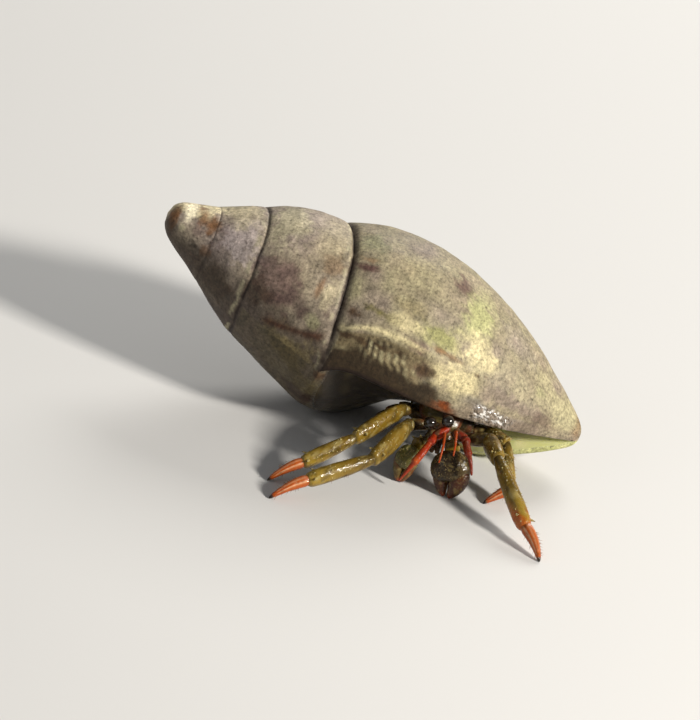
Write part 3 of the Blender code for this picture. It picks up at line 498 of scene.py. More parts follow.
# Noise over the shell: size and seed of its four kinds, and their shares in the outlines of marks
SHELL_NOISE = ((2.6, 11), (1.0, 12), (0.42, 13), (0.2, 15))
WARP_SHARES = (0.35, 0.4, 0.35, 0.35)
# Clouds on the shell: their mean strength and how far the noise swings it
BEIGE_CLOUDS = (0.35, 0.6)
PALE_CLOUDS = (0.35, 0.5)
# Layers of paint on the shell: strength, then where each of its bands starts and is full, in degrees
# before the lip or round the axis, millimetres along or below it, or shares of the noise
MAUVE_CLOUDS = (0.5, (0.2, 0.5))
STRIP = (0.75, (28.5, 26.0), (20.5, 18.5))
APEX = (1.0, (3.5, 2.6), (52.0, 27.0))
APEX_SPOTS = (0.75, (0.15, 0.55), (1.3, 1.9))
DARK_BARS = (0.9, (0.15, -0.35), (-0.9, 0.1))
PALE_BARS = (0.7, (0.2, 0.7), (-0.7, 0.3))
# Band along the rear of the lip: painted shade, with rust in it
LIP_SHADE_AND_RUST_BAND = (1.0, (17.0, 10.0), (22.2, 21.2))
LIP_PAINTED_SHADE = (0.97, (21.8, 20.6))
LIP_RUST = (0.9, (8.5, 5.5), (20.2, 21.6), (-0.6, 0.0))
LIP_WET = (0.75, (19.0, 13.0), (22.6, 23.8), (29.0, 28.0))
RIDGE_PALE = (0.75, (20.0, 17.5))
BELLY_SHADE = (1.0, (62.0, 112.0), (290.0, 210.0), (17.0, 12.0))
# Older whorls paler: partly faded, partly painted light on their lit side
OLD_WHORLS_FADED_AND_LIT = (0.26, (12.5, 7.5))
SUTURE_WIDER = (0.2, (65.0, 100.0))
SUTURE_DARK = (1.0, (0.8, 5.4))
LIP_LINE_WIDER = (2.6, (21.0, 18.5))
BELOW_WHORL = (1.0, (0.12, 0.37))
BLADE = (1.0, (1.35, 1.2), (23.0, 24.4))
BLADE_PALE = (0.4, (21.5, 23.5))
WET_FRONT = (0.2, (50.0, 80.0))
GLINT = (1.0, (18.0, 14.0), (22.8, 23.6), (27.6, 26.4))
# Painted highlight: spots of white sparkle on the lip
SPARKLE_HIGHLIGHT_SPOTS = (0.85, (0.12, 0.32), (4.0, 7.0), (23.4, 24.0), (26.4, 25.6))
# Single figures of that paint, in the same units
BODY_TINT = (1.0, 1.0, 0.9)
BODY_EDGE = 0.4
APEX_DEGREES = -8.0
APEX_PALER = 0.85
BELLY_DARKER = 0.76
RIDGE_DEGREES = (30.5, 1.7)
SUTURE_LINE = (0.07, 0.008)
SUTURE_WIDER_FROM = 9.0
SUTURE_RIM = (-0.36, 0.16)
SUTURE_RIM_FROM = 4.0
LIP_LINE = 1.3
LIP_LINE_FADE = 1.2
INNER_LIP_BEYOND = 130.0
HOLLOW_FROM = 12.0
DAMP = 0.15
DAMP_MOST = 0.66
WET_MOST = 0.8
STREAK_STRETCH = 1.8
STREAK_APART = 5.0

# Brown line across the older whorl: its two ends along and round the axis, and half width
BROWN_LINE = ((8.2, 101.0), (12.7, 85.0), 0.28)
BROWN_LINE_RADIUS = 5.5
BROWN_LINE_FADE = 0.6
# Bars between the older lip and the lip: range along the axis, spacing, lean and degrees before the lip
BAR_RANGE = (14.5, 19.6)
BAR_FADES = (0.8, 1.5)
BAR_SPACING = 0.47
BAR_LEAN = 0.12
BAR_TURN = (27.0, 3.0)
BAR_TURN_FADE = 5.0

# Fine noise in the materials: size in millimetres, detail, roughness and distortion
SPECKS = (0.2, 4.0, 0.7)
BLOTCHES = (0.8, 5.0, 0.65, 0.5)
STREAKS = (0.35, 4.0, 0.6, 0.3)
FINE_STREAKS = (0.15, 3.0, 0.6, 0.2)
SHELL_FINE = (0.09, 3.0, 0.6)
BEADS = (0.3, 2.0, 0.5)
LIMB_GRAIN = (0.12, 3.0, 0.6)
LIMB_RIPPLES = (0.3, 2.0, 0.5)
# Ranges carried over to others: the noise's span for mottling, the share of dark specks, what the
# shell's sockets get from its wetness, and the wetness at which a film of water starts and ends
MOTTLING = (0.36, 0.64)
DARK_SPECKS = (0.6, 0.7, 0.0, 0.5)
SHELL_BY_WETNESS = {
    "Roughness": (0.0, 1.0, 0.62, 0.24),
    "Specular IOR Level": (0.5, 0.8, 0.22, 0.5),
    "Subsurface Weight": (0.9, 1.0, 0.0, 0.7),
}
FILM_STARTS = (0.67, 0.76, 0.0, 1.0)
FILM_ENDS = (0.84, 0.9, 1.0, 0.0)


def curve_values(table, at):
    """Smooth curve through the pairs of a table, for an array of places."""
    at = np.asarray(at, dtype=float)
    xs = np.array([pair[0] for pair in table])
    ys = np.array([pair[1] for pair in table])
    slopes = np.empty(len(xs))
    slopes[1:-1] = (ys[2:] - ys[:-2]) / (xs[2:] - xs[:-2])
    slopes[0] = (ys[1] - ys[0]) / (xs[1] - xs[0])
    slopes[-1] = (ys[-1] - ys[-2]) / (xs[-1] - xs[-2])
    at = np.clip(at, xs[0], xs[-1])
    index = np.clip(np.searchsorted(xs, at, side="right") - 1, 0, len(xs) - 2)
    span = xs[index + 1] - xs[index]
    t = (at - xs[index]) / span
    return ((2 * t ** 3 - 3 * t ** 2 + 1) * ys[index] + (t ** 3 - 2 * t ** 2 + t) * span * slopes[index]
            + (3 * t ** 2 - 2 * t ** 3) * ys[index + 1] + (t ** 3 - t ** 2) * span * slopes[index + 1])


def smooth_step(value):
    """Smooth rise from 0 to 1 over the values from 0 to 1."""
    value = np.clip(value, 0.0, 1.0)
    return value * value * (3.0 - 2.0 * value)


def ramp(value, start, full):
    """Smooth rise from 0 at the start to 1 at full, which may be the smaller of the two."""
    return smooth_step((value - start) / (full - start))


def bell(value, middle, width):
    """Smooth hump of height 1 round a middle."""
    return np.exp(-((value - middle) / width) ** 2)


def overlap(layer, *values):
    """Mask of a layer of paint: its strength times a ramp for each band and the value it reads."""
    mask, *bands = layer
    for band, value in zip(bands, values):
        mask = mask * ramp(value, *band)
    return mask


def noise(places, size, seed):
    """Smooth noise from -1 to 1 at rows of three coordinates, with cells of the given size."""
    values = np.random.default_rng(seed).uniform(-1.0, 1.0, NOISE_VALUES)
    cell = np.asarray(places, dtype=float) / np.asarray(size, dtype=float)
    low = np.floor(cell).astype(np.int64)
    share = smooth_step(cell - low)
    total = np.zeros(len(cell))
    for corner in range(8):
        step = np.array([corner & 1, corner >> 1 & 1, corner >> 2 & 1])
        key = (low + step) * np.array(NOISE_STRIDES)
        value = values[(key[:, 0] ^ key[:, 1] ^ key[:, 2]) % len(values)]
        total += value * np.prod(np.where(step, share, 1.0 - share), axis=1)
    return total


def chain(start, steps):
    """Points reached one after the other from a start."""
    points = []
    place = Vector(start)
    for step in steps:
        place = place + Vector(step)
        points.append(place)
    return points


def mix(paint, colour, mask):
    """Blend an array of colours towards one colour by a mask."""
    return paint + (np.asarray(colour) - paint) * np.clip(mask, 0.0, 1.0)[:, None]


def flat_paint(colour, points):
    """One colour for each of the points."""
    return np.tile(np.array(colour), (len(points), 1))


def new_object(name, data):
    """Object with the given data in the scene."""
    obj = bpy.data.objects.new(name, data)
    bpy.context.scene.collection.objects.link(obj)
    return obj


def new_mesh_object(name, points, faces):
    """Object from points in the crab's own frame, in millimetres."""
    mesh = bpy.data.meshes.new(name)
    mesh.from_pydata(((np.asarray(points) + np.array(SHIFT)) * MM).tolist(), [], faces)
    return new_object(name, mesh)


def store_paint(mesh, paint, wet):
    """Keep a colour and a wetness at each point for the materials."""
    colours = np.ones((len(mesh.vertices), 4), dtype=np.float32)
    colours[:, :3] = np.clip(paint, 0.0, 1.0)
    mesh.color_attributes.new("paint", "FLOAT_COLOR", "POINT").data.foreach_set("color", colours.ravel())
    mesh.attributes.new("wet", "FLOAT", "POINT").data.foreach_set("value", np.asarray(wet, dtype=np.float32))


def dress(obj, material, slot, *nodes):
    """Give a piece its material, hang it from the root and hide its nodes; the slot is not used."""
    obj.data.materials.clear()
    obj.data.materials.append(material)
    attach(obj, "root")
    if nodes:
        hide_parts(*nodes)


def image_axes():
    """Directions of the photograph's right, up and view in the crab's frame."""
    up_in_view = Vector((0.0, math.sin(ELEVATION), math.cos(ELEVATION)))
    right = Vector((math.cos(ROLL), 0.0, 0.0)) + up_in_view * math.sin(ROLL)
    up = Vector((-math.sin(ROLL), 0.0, 0.0)) + up_in_view * math.cos(ROLL)
    view = Vector((0.0, math.cos(ELEVATION), -math.sin(ELEVATION)))
    return right, up, view


def make_camera():
    """Long lens that looks down on the crab, rolled as in the photograph."""
    right, up, view = image_axes()
    across = PHOTO_WIDTH / 2 - ORIGIN_PIXEL[0]
    above = ORIGIN_PIXEL[1] - PHOTO_HEIGHT / 2
    aim = (right * across + up * above) * PIXEL
    distance = LENS / SENSOR * PHOTO_HEIGHT * PIXEL - FOCUS_DEPTH
    data = bpy.data.cameras.new("camera")
    data.lens = LENS
    data.sensor_width = SENSOR
    data.clip_start, data.clip_end = CAMERA_CLIP
    camera = new_object("camera", data)
    turn = Matrix((right, up, -view)).transposed().to_4x4()
    camera.matrix_world = Matrix.Translation((aim - view * distance + SHIFT) * MM) @ turn
    bpy.context.scene.camera = camera


def add_light(name, place, aim, size, power, colour):
    """Soft square light at a place, aimed at a point, both in millimetres."""
    data = bpy.data.lights.new(name, "AREA")
    data.size = size * MM
    data.energy = power
    data.color = colour
    light = new_object(name, data)
    light.location = Vector(place) * MM
    light.rotation_euler = (Vector(aim) - Vector(place)).to_track_quat("-Z", "Y").to_euler()


def make_studio():
    """Pale floor and soft light from above on the right, as in the photograph."""
    world = bpy.data.worlds.new("studio")
    world.use_nodes = True
    set_sockets(world.node_tree.nodes["Background"], {"Color": SKY, "Strength": SKY_STRENGTH})
    bpy.context.scene.world = world
    bpy.context.scene.view_settings.view_transform = "Standard"
    for name, light in LIGHTS.items():
        add_light(name, *light)
    half = FLOOR_HALF
    floor = new_mesh_object("floor", [(-half, -half, 0), (half, -half, 0), (half, half, 0), (-half, half, 0)],
                            [(0, 1, 2, 3)])
    floor.data.materials.append(floor_material())


def floor_material():
    """Pale matt floor with a faint grain."""
    material, tree, shader = new_material("pale_floor")
    set_sockets(shader, {"Base Color": FLOOR_GREY, "Roughness": 0.75})
    grain = tree.nodes.new("ShaderNodeTexNoise")
    grain.inputs["Scale"].default_value = FLOOR_GRAIN
    add_bump(tree, shader, grain.outputs["Fac"], *FLOOR_BUMP)
    return material


def new_material(name):
    """Material with its node tree and its one shader."""
    material = bpy.data.materials.new(name)
    material.use_nodes = True
    return material, material.node_tree, material.node_tree.nodes["Principled BSDF"]


def set_sockets(shader, values):
    """Set uniform values on a shader's sockets."""
    for name, value in values.items():
        shader.inputs[name].default_value = value


def add_bump(tree, shader, height, strength, distance, normal=None):
    """Bump from a height, on top of another one if its normal is given; the shader takes it up."""
    bump = tree.nodes.new("ShaderNodeBump")
    set_sockets(bump, {"Strength": strength, "Distance": distance})
    tree.links.new(height, bump.inputs["Height"])
    if normal:
        tree.links.new(normal, bump.inputs["Normal"])
    tree.links.new(bump.outputs["Normal"], shader.inputs["Normal"])
    return bump.outputs["Normal"]


def noise_node(tree, coordinates, size, detail=3.0, roughness=0.5, distortion=0.0):
    """Noise texture whose spots are about the given size in millimetres."""
    node = tree.nodes.new("ShaderNodeTexNoise")
    set_sockets(node, {"Scale": 1.0 / (size * MM), "Detail": detail, "Roughness": roughness,
                       "Distortion": distortion})
    tree.links.new(coordinates, node.inputs["Vector"])
    return node.outputs["Fac"]


def map_range(tree, value, low, high, to_low, to_high):
    """Value carried over from one range to another, and kept within it."""
    node = tree.nodes.new("ShaderNodeMapRange")
    set_sockets(node, {"From Min": low, "From Max": high, "To Min": to_low, "To Max": to_high})
    tree.links.new(value, node.inputs["Value"])
    return node.outputs["Result"]


def product(tree, first, second):
    """Product of two values."""
    node = tree.nodes.new("ShaderNodeMath")
    node.operation = "MULTIPLY"
    tree.links.new(first, node.inputs[0])
    tree.links.new(second, node.inputs[1])
    return node.outputs["Value"]


def mix_colour(tree, factor, first, second, mode="MIX"):
    """Mix two colours, each a socket or a fixed colour."""
    node = tree.nodes.new("ShaderNodeMix")
    node.data_type = "RGBA"
    node.blend_type = mode
    for socket, value in ((node.inputs[0], factor), (node.inputs[6], first), (node.inputs[7], second)):
        if isinstance(value, (int, float)):
            socket.default_value = value
        elif isinstance(value, tuple):
            socket.default_value = (*value, 1.0)
        else:
            tree.links.new(value, socket)
    return node.outputs[2]


def attribute(tree, name, output):
    """Output of what the mesh keeps under a name."""
    node = tree.nodes.new("ShaderNodeAttribute")
    node.attribute_name = name
    return node.outputs[output]


def stretched_noise(first, second, level, seed):
    """Noise over two stretched measures of the shell."""
    places = np.stack((first, second, np.full_like(first, level)), axis=-1)
    return noise(places.reshape(-1, 3), 1.0, seed)


def suture_at(angle):
    """Distance along the axis of the last suture at unwrapped angles."""
    turns = (angle - LIP_ANGLE - LIP_CORNER_ANGLE) / TAU
    lean = 1.0 + SUTURE_LEAN * np.cos(angle - SUTURE_LEAN_FROM)
    lean_end = 1.0 + SUTURE_LEAN * math.cos(LIP_ANGLE + LIP_CORNER_ANGLE - SUTURE_LEAN_FROM)
    return SUTURE_AT_LIP * WHORL_RATIO ** turns * lean / lean_end


def lip_angle(along):
    """Angle of the outer lip round the axis, wider at its rear corner."""
    past = np.maximum(0.0, along - SUTURE_AT_LIP)
    return LIP_ANGLE + LIP_CORNER_ANGLE * np.exp(-past / LIP_CORNER_LENGTH)


def whorl_relief(along, turn):
    """Change of radius by the sutures, whose last one lies at suture_at(turn)."""
    relief = np.zeros_like(along)
    inside = np.ones_like(along, dtype=bool)
    deeper = 1.0 + SUTURE_TOP_SHARE * np.cos(turn - SUTURE_LEAN_FROM)
    for back in range(WHORLS_BEFORE_LIP):
        suture = suture_at(turn - back * TAU)
        size = suture / SUTURE_AT_LIP
        past = (along - suture) / size
        to_end = LIP_ANGLE + LIP_CORNER_ANGLE - turn + back * TAU
        depth = deeper * size ** 2 * smooth_step(to_end / SUTURE_END_FADE)
        change = SUTURE_DEPTH * np.exp(-(past / SUTURE_WIDTH) ** 2)
        change += np.where(past > 0.0, DIP_AFTER * np.exp(-np.maximum(past, 0.0) / DIP_AFTER_LENGTH),
                           DIP_BEFORE * np.exp(np.minimum(past, 0.0) / DIP_BEFORE_LENGTH))
        relief -= np.where(inside, depth * change, 0.0)
        inside &= past <= 0.0
    return relief


def full_radius(along, past_lip):
    """Radius of the whorls past_lip radians beyond the outer lip, without the opening."""
    turn = lip_angle(along) - TAU + past_lip
    outer = curve_values(ENVELOPE, along) + whorl_relief(along, turn)
    to_lip = TAU - past_lip
    ridge = np.exp(-((to_lip - OLD_LIP_BACK) / OLD_LIP_WIDTH) ** 2)
    strip = smooth_step((OLD_LIP_BACK - to_lip) / OLD_LIP_WIDTH + 0.5)
    body = smooth_step((along - suture_at(turn)) / OLD_LIP_FADE)
    body = body * np.minimum(1.0, outer / OLD_LIP_FULL_RADIUS)
    body = body * (1.0 - OLD_LIP_LOST * smooth_step((along - OLD_LIP_TO) / OLD_LIP_TO_FADE))
    return outer + body * (OLD_LIP_HEIGHT * ridge - NEW_STRIP_DROP * strip)


def inner_lip_rise(along, past_lip):
    """Share of the way up from the pillar to the full radius, beyond the outer lip."""
    return (np.degrees(past_lip) - curve_values(INNER_LIP_START, along)) / curve_values(INNER_LIP_RISE, along)


def shell_radius(along, past_lip):
    """Radius of the shell, which falls to the pillar beyond the outer lip."""
    outer = full_radius(along, past_lip)
    pillar = np.minimum(curve_values(PILLAR, along), outer)
    opened = pillar + (outer - pillar) * smooth_step(inner_lip_rise(along, past_lip))
    return np.where(along <= SUTURE_AT_LIP, outer, opened)


def apex_shift(along):
    """Sideways shift of the axis near the pointed end, as a vector for each place."""
    shift = APEX_SHIFT * np.exp(-along / APEX_SHIFT_LENGTH)
    return shift[..., None] * np.array((0.0, -math.sin(SUTURE_LEAN_FROM), math.cos(SUTURE_LEAN_FROM)))


def shell_points(along, radius, angle):
    """Points of the shell in the crab's frame."""
    local = np.stack((along - SHELL_ANCHOR_AT, -radius * np.sin(angle), radius * np.cos(angle)), axis=-1)
    local += apex_shift(along)
    turn = np.array(Matrix.Rotation(SHELL_PITCH, 3, "Y"))
    return np.array(SHELL_ANCHOR) + local @ turn.T


def shell_places(points):
    """Distance along the shell's axis, radius and angle round it of points in the crab's frame."""
    turn = np.array(Matrix.Rotation(SHELL_PITCH, 3, "Y"))
    local = (points - np.array(SHELL_ANCHOR)) @ turn
    along = local[:, 0] + SHELL_ANCHOR_AT
    local = local - apex_shift(along)
    return along, np.hypot(local[:, 1], local[:, 2]), np.arctan2(-local[:, 1], local[:, 2])


def fine_rows():
    """Fractions of a whorl between one suture and the next, closest beside the sutures."""
    knots = np.array(WHORL_ROWS)
    at = np.arange((len(knots) - 1) * ROW_STEPS) / ROW_STEPS
    return np.interp(at, np.arange(len(knots)), knots)


def surface_detail(points, along, past_lip):
    """Growth lines, faint spiral lines and worn dents, in millimetres."""
    turn = lip_angle(along) + past_lip
    close, far = [stretched_noise(turn * cells[0], along * cells[1], level, level + 1)
                  for level, cells in enumerate(GROWTH_CELLS)]
    spiral = stretched_noise(along * SPIRAL_CELLS[0], turn * SPIRAL_CELLS[1], 1, 3)
    flat = points.reshape(-1, 3)
    detail = GROWTH_LINES * (close + far) + SPIRAL_LINES * spiral
    coarse, fine = DENT_SIZES
    detail += WORN_DENTS * noise(flat, coarse, 4) + FINE_DENTS * WORN_DENTS * noise(flat, fine, 5)
    return detail.reshape(along.shape) * smooth_step(along / DETAIL_FULL_AT)


def lip_bars(along, past_lip):
    """Low bars between the older lip and the lip."""
    degrees_left = np.degrees(TAU - past_lip)
    mask = 1.0
    for inside, fade in ((BAR_TURN[0] - degrees_left, BAR_TURN_FADE),
                         (degrees_left - BAR_TURN[1], BAR_TURN_FADE),
                         (along - BAR_RANGE[0], BAR_FADES[0]), (BAR_RANGE[1] - along, BAR_FADES[1])):
        mask = mask * smooth_step(inside / fade)
    return mask * np.cos(along * TAU / BAR_SPACING + degrees_left * BAR_LEAN)


def spiral_rows():
    """Numbers of the rows on all whorls, the turn at which each starts, and how many make a whorl."""
    steps = fine_rows()
    rows = len(steps)
    row = np.arange(-WHORLS_BEFORE_LIP * rows, WHORLS_AFTER_LIP * rows)
    return row, (row // rows + steps[row % rows]) * TAU, rows


def edge_rounding(row, row_turn):
    """Radius of the lip's rounded edge at each row, and the turn that it takes up."""
    along = np.clip(suture_at(LIP_ANGLE + LIP_CORNER_ANGLE + row_turn), APEX_RING_AT, TIP_RING_AT)
    outer = full_radius(along, np.full_like(along, TAU))
    inner = shell_radius(along, np.zeros_like(along))
    edge = np.clip((outer - inner) / 2, 0.0, LIP_ROUND) * (row > 0)
    return edge, edge / outer


def column_turns(edge, edge_turn):
    """Turn past the lip and drop of the radius by row and column, curled round the lip's edge."""
    share = np.arange(SHELL_COLUMNS + 1) / SHELL_COLUMNS
    squeeze = smooth_step((share * SHELL_COLUMNS - SHELL_COLUMNS + LIP_COLUMNS) / LIP_COLUMNS)
    past = TAU * share[None, :] - edge_turn[:, None] * squeeze[None, :]
    curl = np.arange(1, LIP_ROUND_STEPS + 1) / LIP_ROUND_STEPS * math.pi / 2
    past_curl = TAU - edge_turn[:, None] * (1.0 - np.sin(curl))[None, :]
    drop = np.concatenate((np.zeros(len(share)), 1.0 - np.cos(curl)))[None, :] * edge[:, None]
    return np.concatenate((past, past_curl), axis=1), drop


def grid_numbers(places, row, rows):
    """Numbers of the points by row and column, shared where whorls meet and at both ends."""
    after = np.vstack((places[1:], places[-1:] + 1.0))
    before = np.vstack((places[:1] - 1.0, places[:-1]))
    grid = np.arange(places.size).reshape(places.shape) + 2
    merged = np.nonzero((row <= 0) & (row + rows < row[-1]))[0]
    for column in range(SHELL_COLUMNS, places.shape[1]):
        grid[merged, column] = grid[merged + rows, 0]
    grid[after <= APEX_RING_AT] = 0
    grid[before >= TIP_RING_AT] = 1
    return grid


def shell_vertex_grid():
    """Points of the spiral surface and their numbers by row and column."""
    row, row_turn, rows = spiral_rows()
    past, drop = column_turns(*edge_rounding(row, row_turn))
    places = suture_at(LIP_ANGLE + LIP_CORNER_ANGLE - TAU + past + row_turn[:, None])
    along = np.clip(places, APEX_RING_AT, TIP_RING_AT)
    angle = lip_angle(along) + past
    radius = shell_radius(along, past) - drop
    points = shell_points(along, radius, angle)
    radius = radius + surface_detail(points, along, past) + BAR_HEIGHT * lip_bars(along, past)
    points = shell_points(along, radius, angle)
    poles = shell_points(np.array((APEX_POLE_AT, SHELL_LENGTH)), np.zeros(2), np.zeros(2))
    return np.vstack((poles, points.reshape(-1, 3))), grid_numbers(places, row, rows), rows


def tunnel_faces(sections, size):
    """Faces of a closed run of equal rings, with a face at each end."""
    faces = [(section * size + step, section * size + (step + 1) % size,
              (section + 1) * size + (step + 1) % size, (section + 1) * size + step)
             for section in range(sections - 1) for step in range(size)]
    faces.append(tuple(reversed(range(size))))
    faces.append(tuple(range((sections - 1) * size, sections * size)))
    return faces


def shell_surface():
    """Closed outer surface of the shell, with a rounded outer lip."""
    points, grid, rows = shell_vertex_grid()
    quads = np.stack((grid[:-1, :-1], grid[:-1, 1:], grid[1:, 1:], grid[1:, :-1]), axis=-1).reshape(-1, 4)
    first = WHORLS_BEFORE_LIP * rows - 1
    last = first + (WHORLS_AFTER_LIP - 1) * rows
    inner = grid[:, 0]
    step = np.stack((grid[first:last, -1], inner[first + rows:last + rows],
                     inner[first + rows + 1:last + rows + 1], grid[first + 1:last + 1, -1]), axis=-1)
    faces = [tuple(dict.fromkeys(quad)) for quad in np.vstack((quads, step)).tolist()]
    used = np.unique(np.concatenate([face for face in faces if len(face) > 2]))
    number = np.zeros(len(points), dtype=np.int64)
    number[used] = np.arange(len(used))
    number = number.tolist()
    faces = [tuple(number[corner] for corner in face) for face in faces if len(face) > 2]
    return new_mesh_object("shell_skin", points[used], faces)


def cavity_cutter():
    """Hollow behind the outer lip, narrowing as it winds back, with a thin wall at the lip."""
    depth = np.linspace(0.0, 1.0, CAVITY_SECTIONS)[:, None]
    share = np.linspace(0.0, 1.0, CAVITY_STEPS)[None, :]
    turn = CAVITY_BEYOND_LIP - depth * (CAVITY_BEYOND_LIP + CAVITY_DEPTH) + 0.0 * share
    low = CAVITY_LOW - CAVITY_LOW_MOVES * depth
    high = CAVITY_HIGH - CAVITY_HIGH_MOVES * depth ** CAVITY_HIGH_CURVE
    along = low + (high - low) * share
    thin = (LIP_WALL - LIP_EDGE_WALL) * smooth_step(1.0 + turn / LIP_THIN_TURN)
    outer = full_radius(along, TAU + np.minimum(turn, 0.0)) - LIP_WALL - CAVITY_WALL_GROWS * depth + thin
    inner = curve_values(PILLAR, along) + CAVITY_OFF_PILLAR + CAVITY_PILLAR_GROWS * depth
    inner = np.minimum(inner, outer - CAVITY_LEAST_HEIGHT)
    along = np.concatenate((along, along[:, ::-1]), axis=1)
    radius = np.concatenate((outer, inner[:, ::-1]), axis=1)
    turn = np.concatenate((turn, turn[:, ::-1]), axis=1)
    points = shell_points(along, radius, lip_angle(along) + turn).reshape(-1, 3)
    return new_mesh_object("cavity", points, tunnel_faces(CAVITY_SECTIONS, 2 * CAVITY_STEPS))


def face_out(obj):
    """Turn all faces of a closed mesh to point out."""
    mesh = bmesh.new()
    mesh.from_mesh(obj.data)
    bmesh.ops.triangulate(mesh, faces=[face for face in mesh.faces if len(face.verts) > 4])
    bmesh.ops.recalc_face_normals(mesh, faces=mesh.faces)
    if mesh.calc_volume(signed=True) < 0:
        bmesh.ops.reverse_faces(mesh, faces=mesh.faces)
    mesh.to_mesh(obj.data)
    mesh.free()


def cut(obj, cutter):
    """Take the cutter's volume out of an object, and remove the cutter."""
    face_out(obj)
    face_out(cutter)
    difference = obj.modifiers.new("cut", "BOOLEAN")
    difference.operation = "DIFFERENCE"
    difference.object = cutter
    difference.solver = "MANIFOLD"
    graph = bpy.context.evaluated_depsgraph_get()
    mesh = bpy.data.meshes.new_from_object(obj.evaluated_get(graph))
    obj.modifiers.clear()
    obj.data = mesh
    bpy.data.objects.remove(cutter, do_unlink=True)


def coordinates(mesh):
    """Flat array of a mesh's points, in metres."""
    flat = np.empty(len(mesh.vertices) * 3, dtype=np.float32)
    mesh.vertices.foreach_get("co", flat)
    return flat


def mesh_points(mesh):
    """Points of a mesh in the crab's frame."""
    return coordinates(mesh).reshape(-1, 3).astype(float) / MM - np.array(SHIFT)


def keep_above_floor(mesh):
    """Bring every point that lies below the floor up to it."""
    flat = coordinates(mesh)
    flat[2::3] = np.maximum(flat[2::3], 0.0)
    mesh.vertices.foreach_set("co", flat)
    mesh.update()


class ShellPlaces:
    """What the paint needs to know of each point of the shell."""

    def __init__(self, points):
        """Measure the points: along and round the axis, from the lip, and three kinds of noise."""
        self.points = points
        self.along, self.radius, self.angle = shell_places(points)
        self.past_lip = (self.angle - lip_angle(self.along)) % TAU
        self.turn = lip_angle(self.along) - TAU + self.past_lip
        self.outer = full_radius(self.along, self.past_lip)
        self.degrees = np.degrees(self.angle)
        self.near_lip = np.degrees(TAU - self.past_lip)
        self.by_lip = self.along > SUTURE_AT_LIP
        self.wide, self.mid, self.small, tiny = [noise(points, size, seed) for size, seed in SHELL_NOISE]
        parts = zip(WARP_SHARES, (self.wide, self.mid, self.small, tiny))
        self.warp = sum(share * part for share, part in parts)
        self.body = smooth_step((self.along - suture_at(self.turn)) / BODY_EDGE)
        self.below = overlap(BELOW_WHORL, self.outer - self.radius)
        self.inner_lip = self.near_lip >= INNER_LIP_BEYOND

    def shade(self):
        """Shaded belly of the older whorls."""
        around = self.degrees % 360.0
        return overlap(BELLY_SHADE, around + 8.0 * self.mid, around, self.along)


def mark_mask(at, warp, mark):
    """Share of one mark on the shell at each point, with an outline made ragged by warp."""
    place, degrees, length, width, strength = mark[1:]
    around = (at.degrees - degrees + 180.0) % 360.0 - 180.0
    far = np.hypot((at.along - place) / length, around / width)
    return strength * smooth_step((MARK_REACH + warp - far) / MARK_SOFTNESS)


def back_marks():
    """Seeded marks over the side of the shell that the photograph doesn't show."""
    rng = random.Random(31)
    marks = []
    for _ in range(BACK_MARKS):
        colour = rng.choice(BACK_COLOURS)
        marks.append((colour, *[rng.uniform(*span) for span in BACK_SPANS]))
    return marks


def paint_shell(mesh):
    """Colours of the worn shell, and how wet it is."""
    at = ShellPlaces(mesh_points(mesh))
    paint = paint_ground(at)
    paint = paint_marks(paint, at)
    paint = paint_near_lip(paint, at)
    paint = paint_whorls(paint, at)
    paint = paint_lines(paint, at)
    paint = paint_opening(paint, at)
    store_paint(mesh, *paint_wet(paint, at))
    store_streaks(mesh, at.along, at.turn)


def paint_ground(at):
    """Beige, pale and mauve clouds of the worn shell, and the brown strip before the lip."""
    paint = flat_paint(GREY_MAUVE, at.along)
    paint = mix(paint, BEIGE, BEIGE_CLOUDS[0] + BEIGE_CLOUDS[1] * at.wide)
    paint = mix(paint, PALE, at.body * (PALE_CLOUDS[0] + PALE_CLOUDS[1] * at.mid))
    clouds = overlap(MAUVE_CLOUDS, 0.6 * (at.mid + at.small))
    paint = mix(paint, MAUVE, clouds * (1.0 - 0.6 * at.body))
    return mix(paint, STRIP_BROWN, overlap(STRIP, at.near_lip, at.along) * at.body * at.by_lip)


def paint_marks(paint, at):
    """Marks over the whole shell, and the pale pointed end with its own marks."""
    for mark in list(SHELL_MARKS) + back_marks():
        paint = mix(paint, mark[0], mark_mask(at, at.warp, mark))
    apex = overlap(APEX, at.along - 0.5 * at.mid, np.abs(at.degrees - APEX_DEGREES) - 20.0 * at.mid)
    paint = mix(paint, CREAM, APEX_PALER * apex)
    paint = mix(paint, ORANGE_BROWN, apex * overlap(APEX_SPOTS, at.mid + 0.7 * at.small, at.along))
    for mark in APEX_MARKS:
        paint = mix(paint, mark[0], APEX_MARK_SHARE * mark_mask(at, 0.5 * at.warp, mark))
    return paint


def paint_near_lip(paint, at):
    """Bars between the older lip and the lip, its band of brown painted shade with rust in it, its wet band,
    and the older lip's ridge.
    """
    bars = lip_bars(at.along, at.past_lip)
    paint = mix(paint, DARK_BROWN, overlap(DARK_BARS, bars, at.mid))
    paint = mix(paint, PALE, overlap(PALE_BARS, bars, at.small))
    # Painted shade: a dark brown band along the rear of the lip, with rust inside it
    brown = at.by_lip * overlap(LIP_SHADE_AND_RUST_BAND, at.near_lip - 5.0 * at.mid - 3.0 * at.small,
                                at.along - 0.7 * at.mid - 0.5 * at.small)
    paint = mix(paint, SHADE_BROWN, brown * overlap(LIP_PAINTED_SHADE, at.along))
    rust = overlap(LIP_RUST, at.near_lip - 4.0 * at.mid - 5.0 * at.small, at.along, at.mid + at.small)
    paint = mix(paint, RUST, brown * rust)
    paint = mix(paint, LIP_MAUVE, overlap(LIP_WET, at.near_lip - 5.0 * at.mid, at.along, at.along))
    ridge = bell(at.near_lip, *RIDGE_DEGREES) * at.body
    return mix(paint, CREAM, ridge * overlap(RIDGE_PALE, at.along))


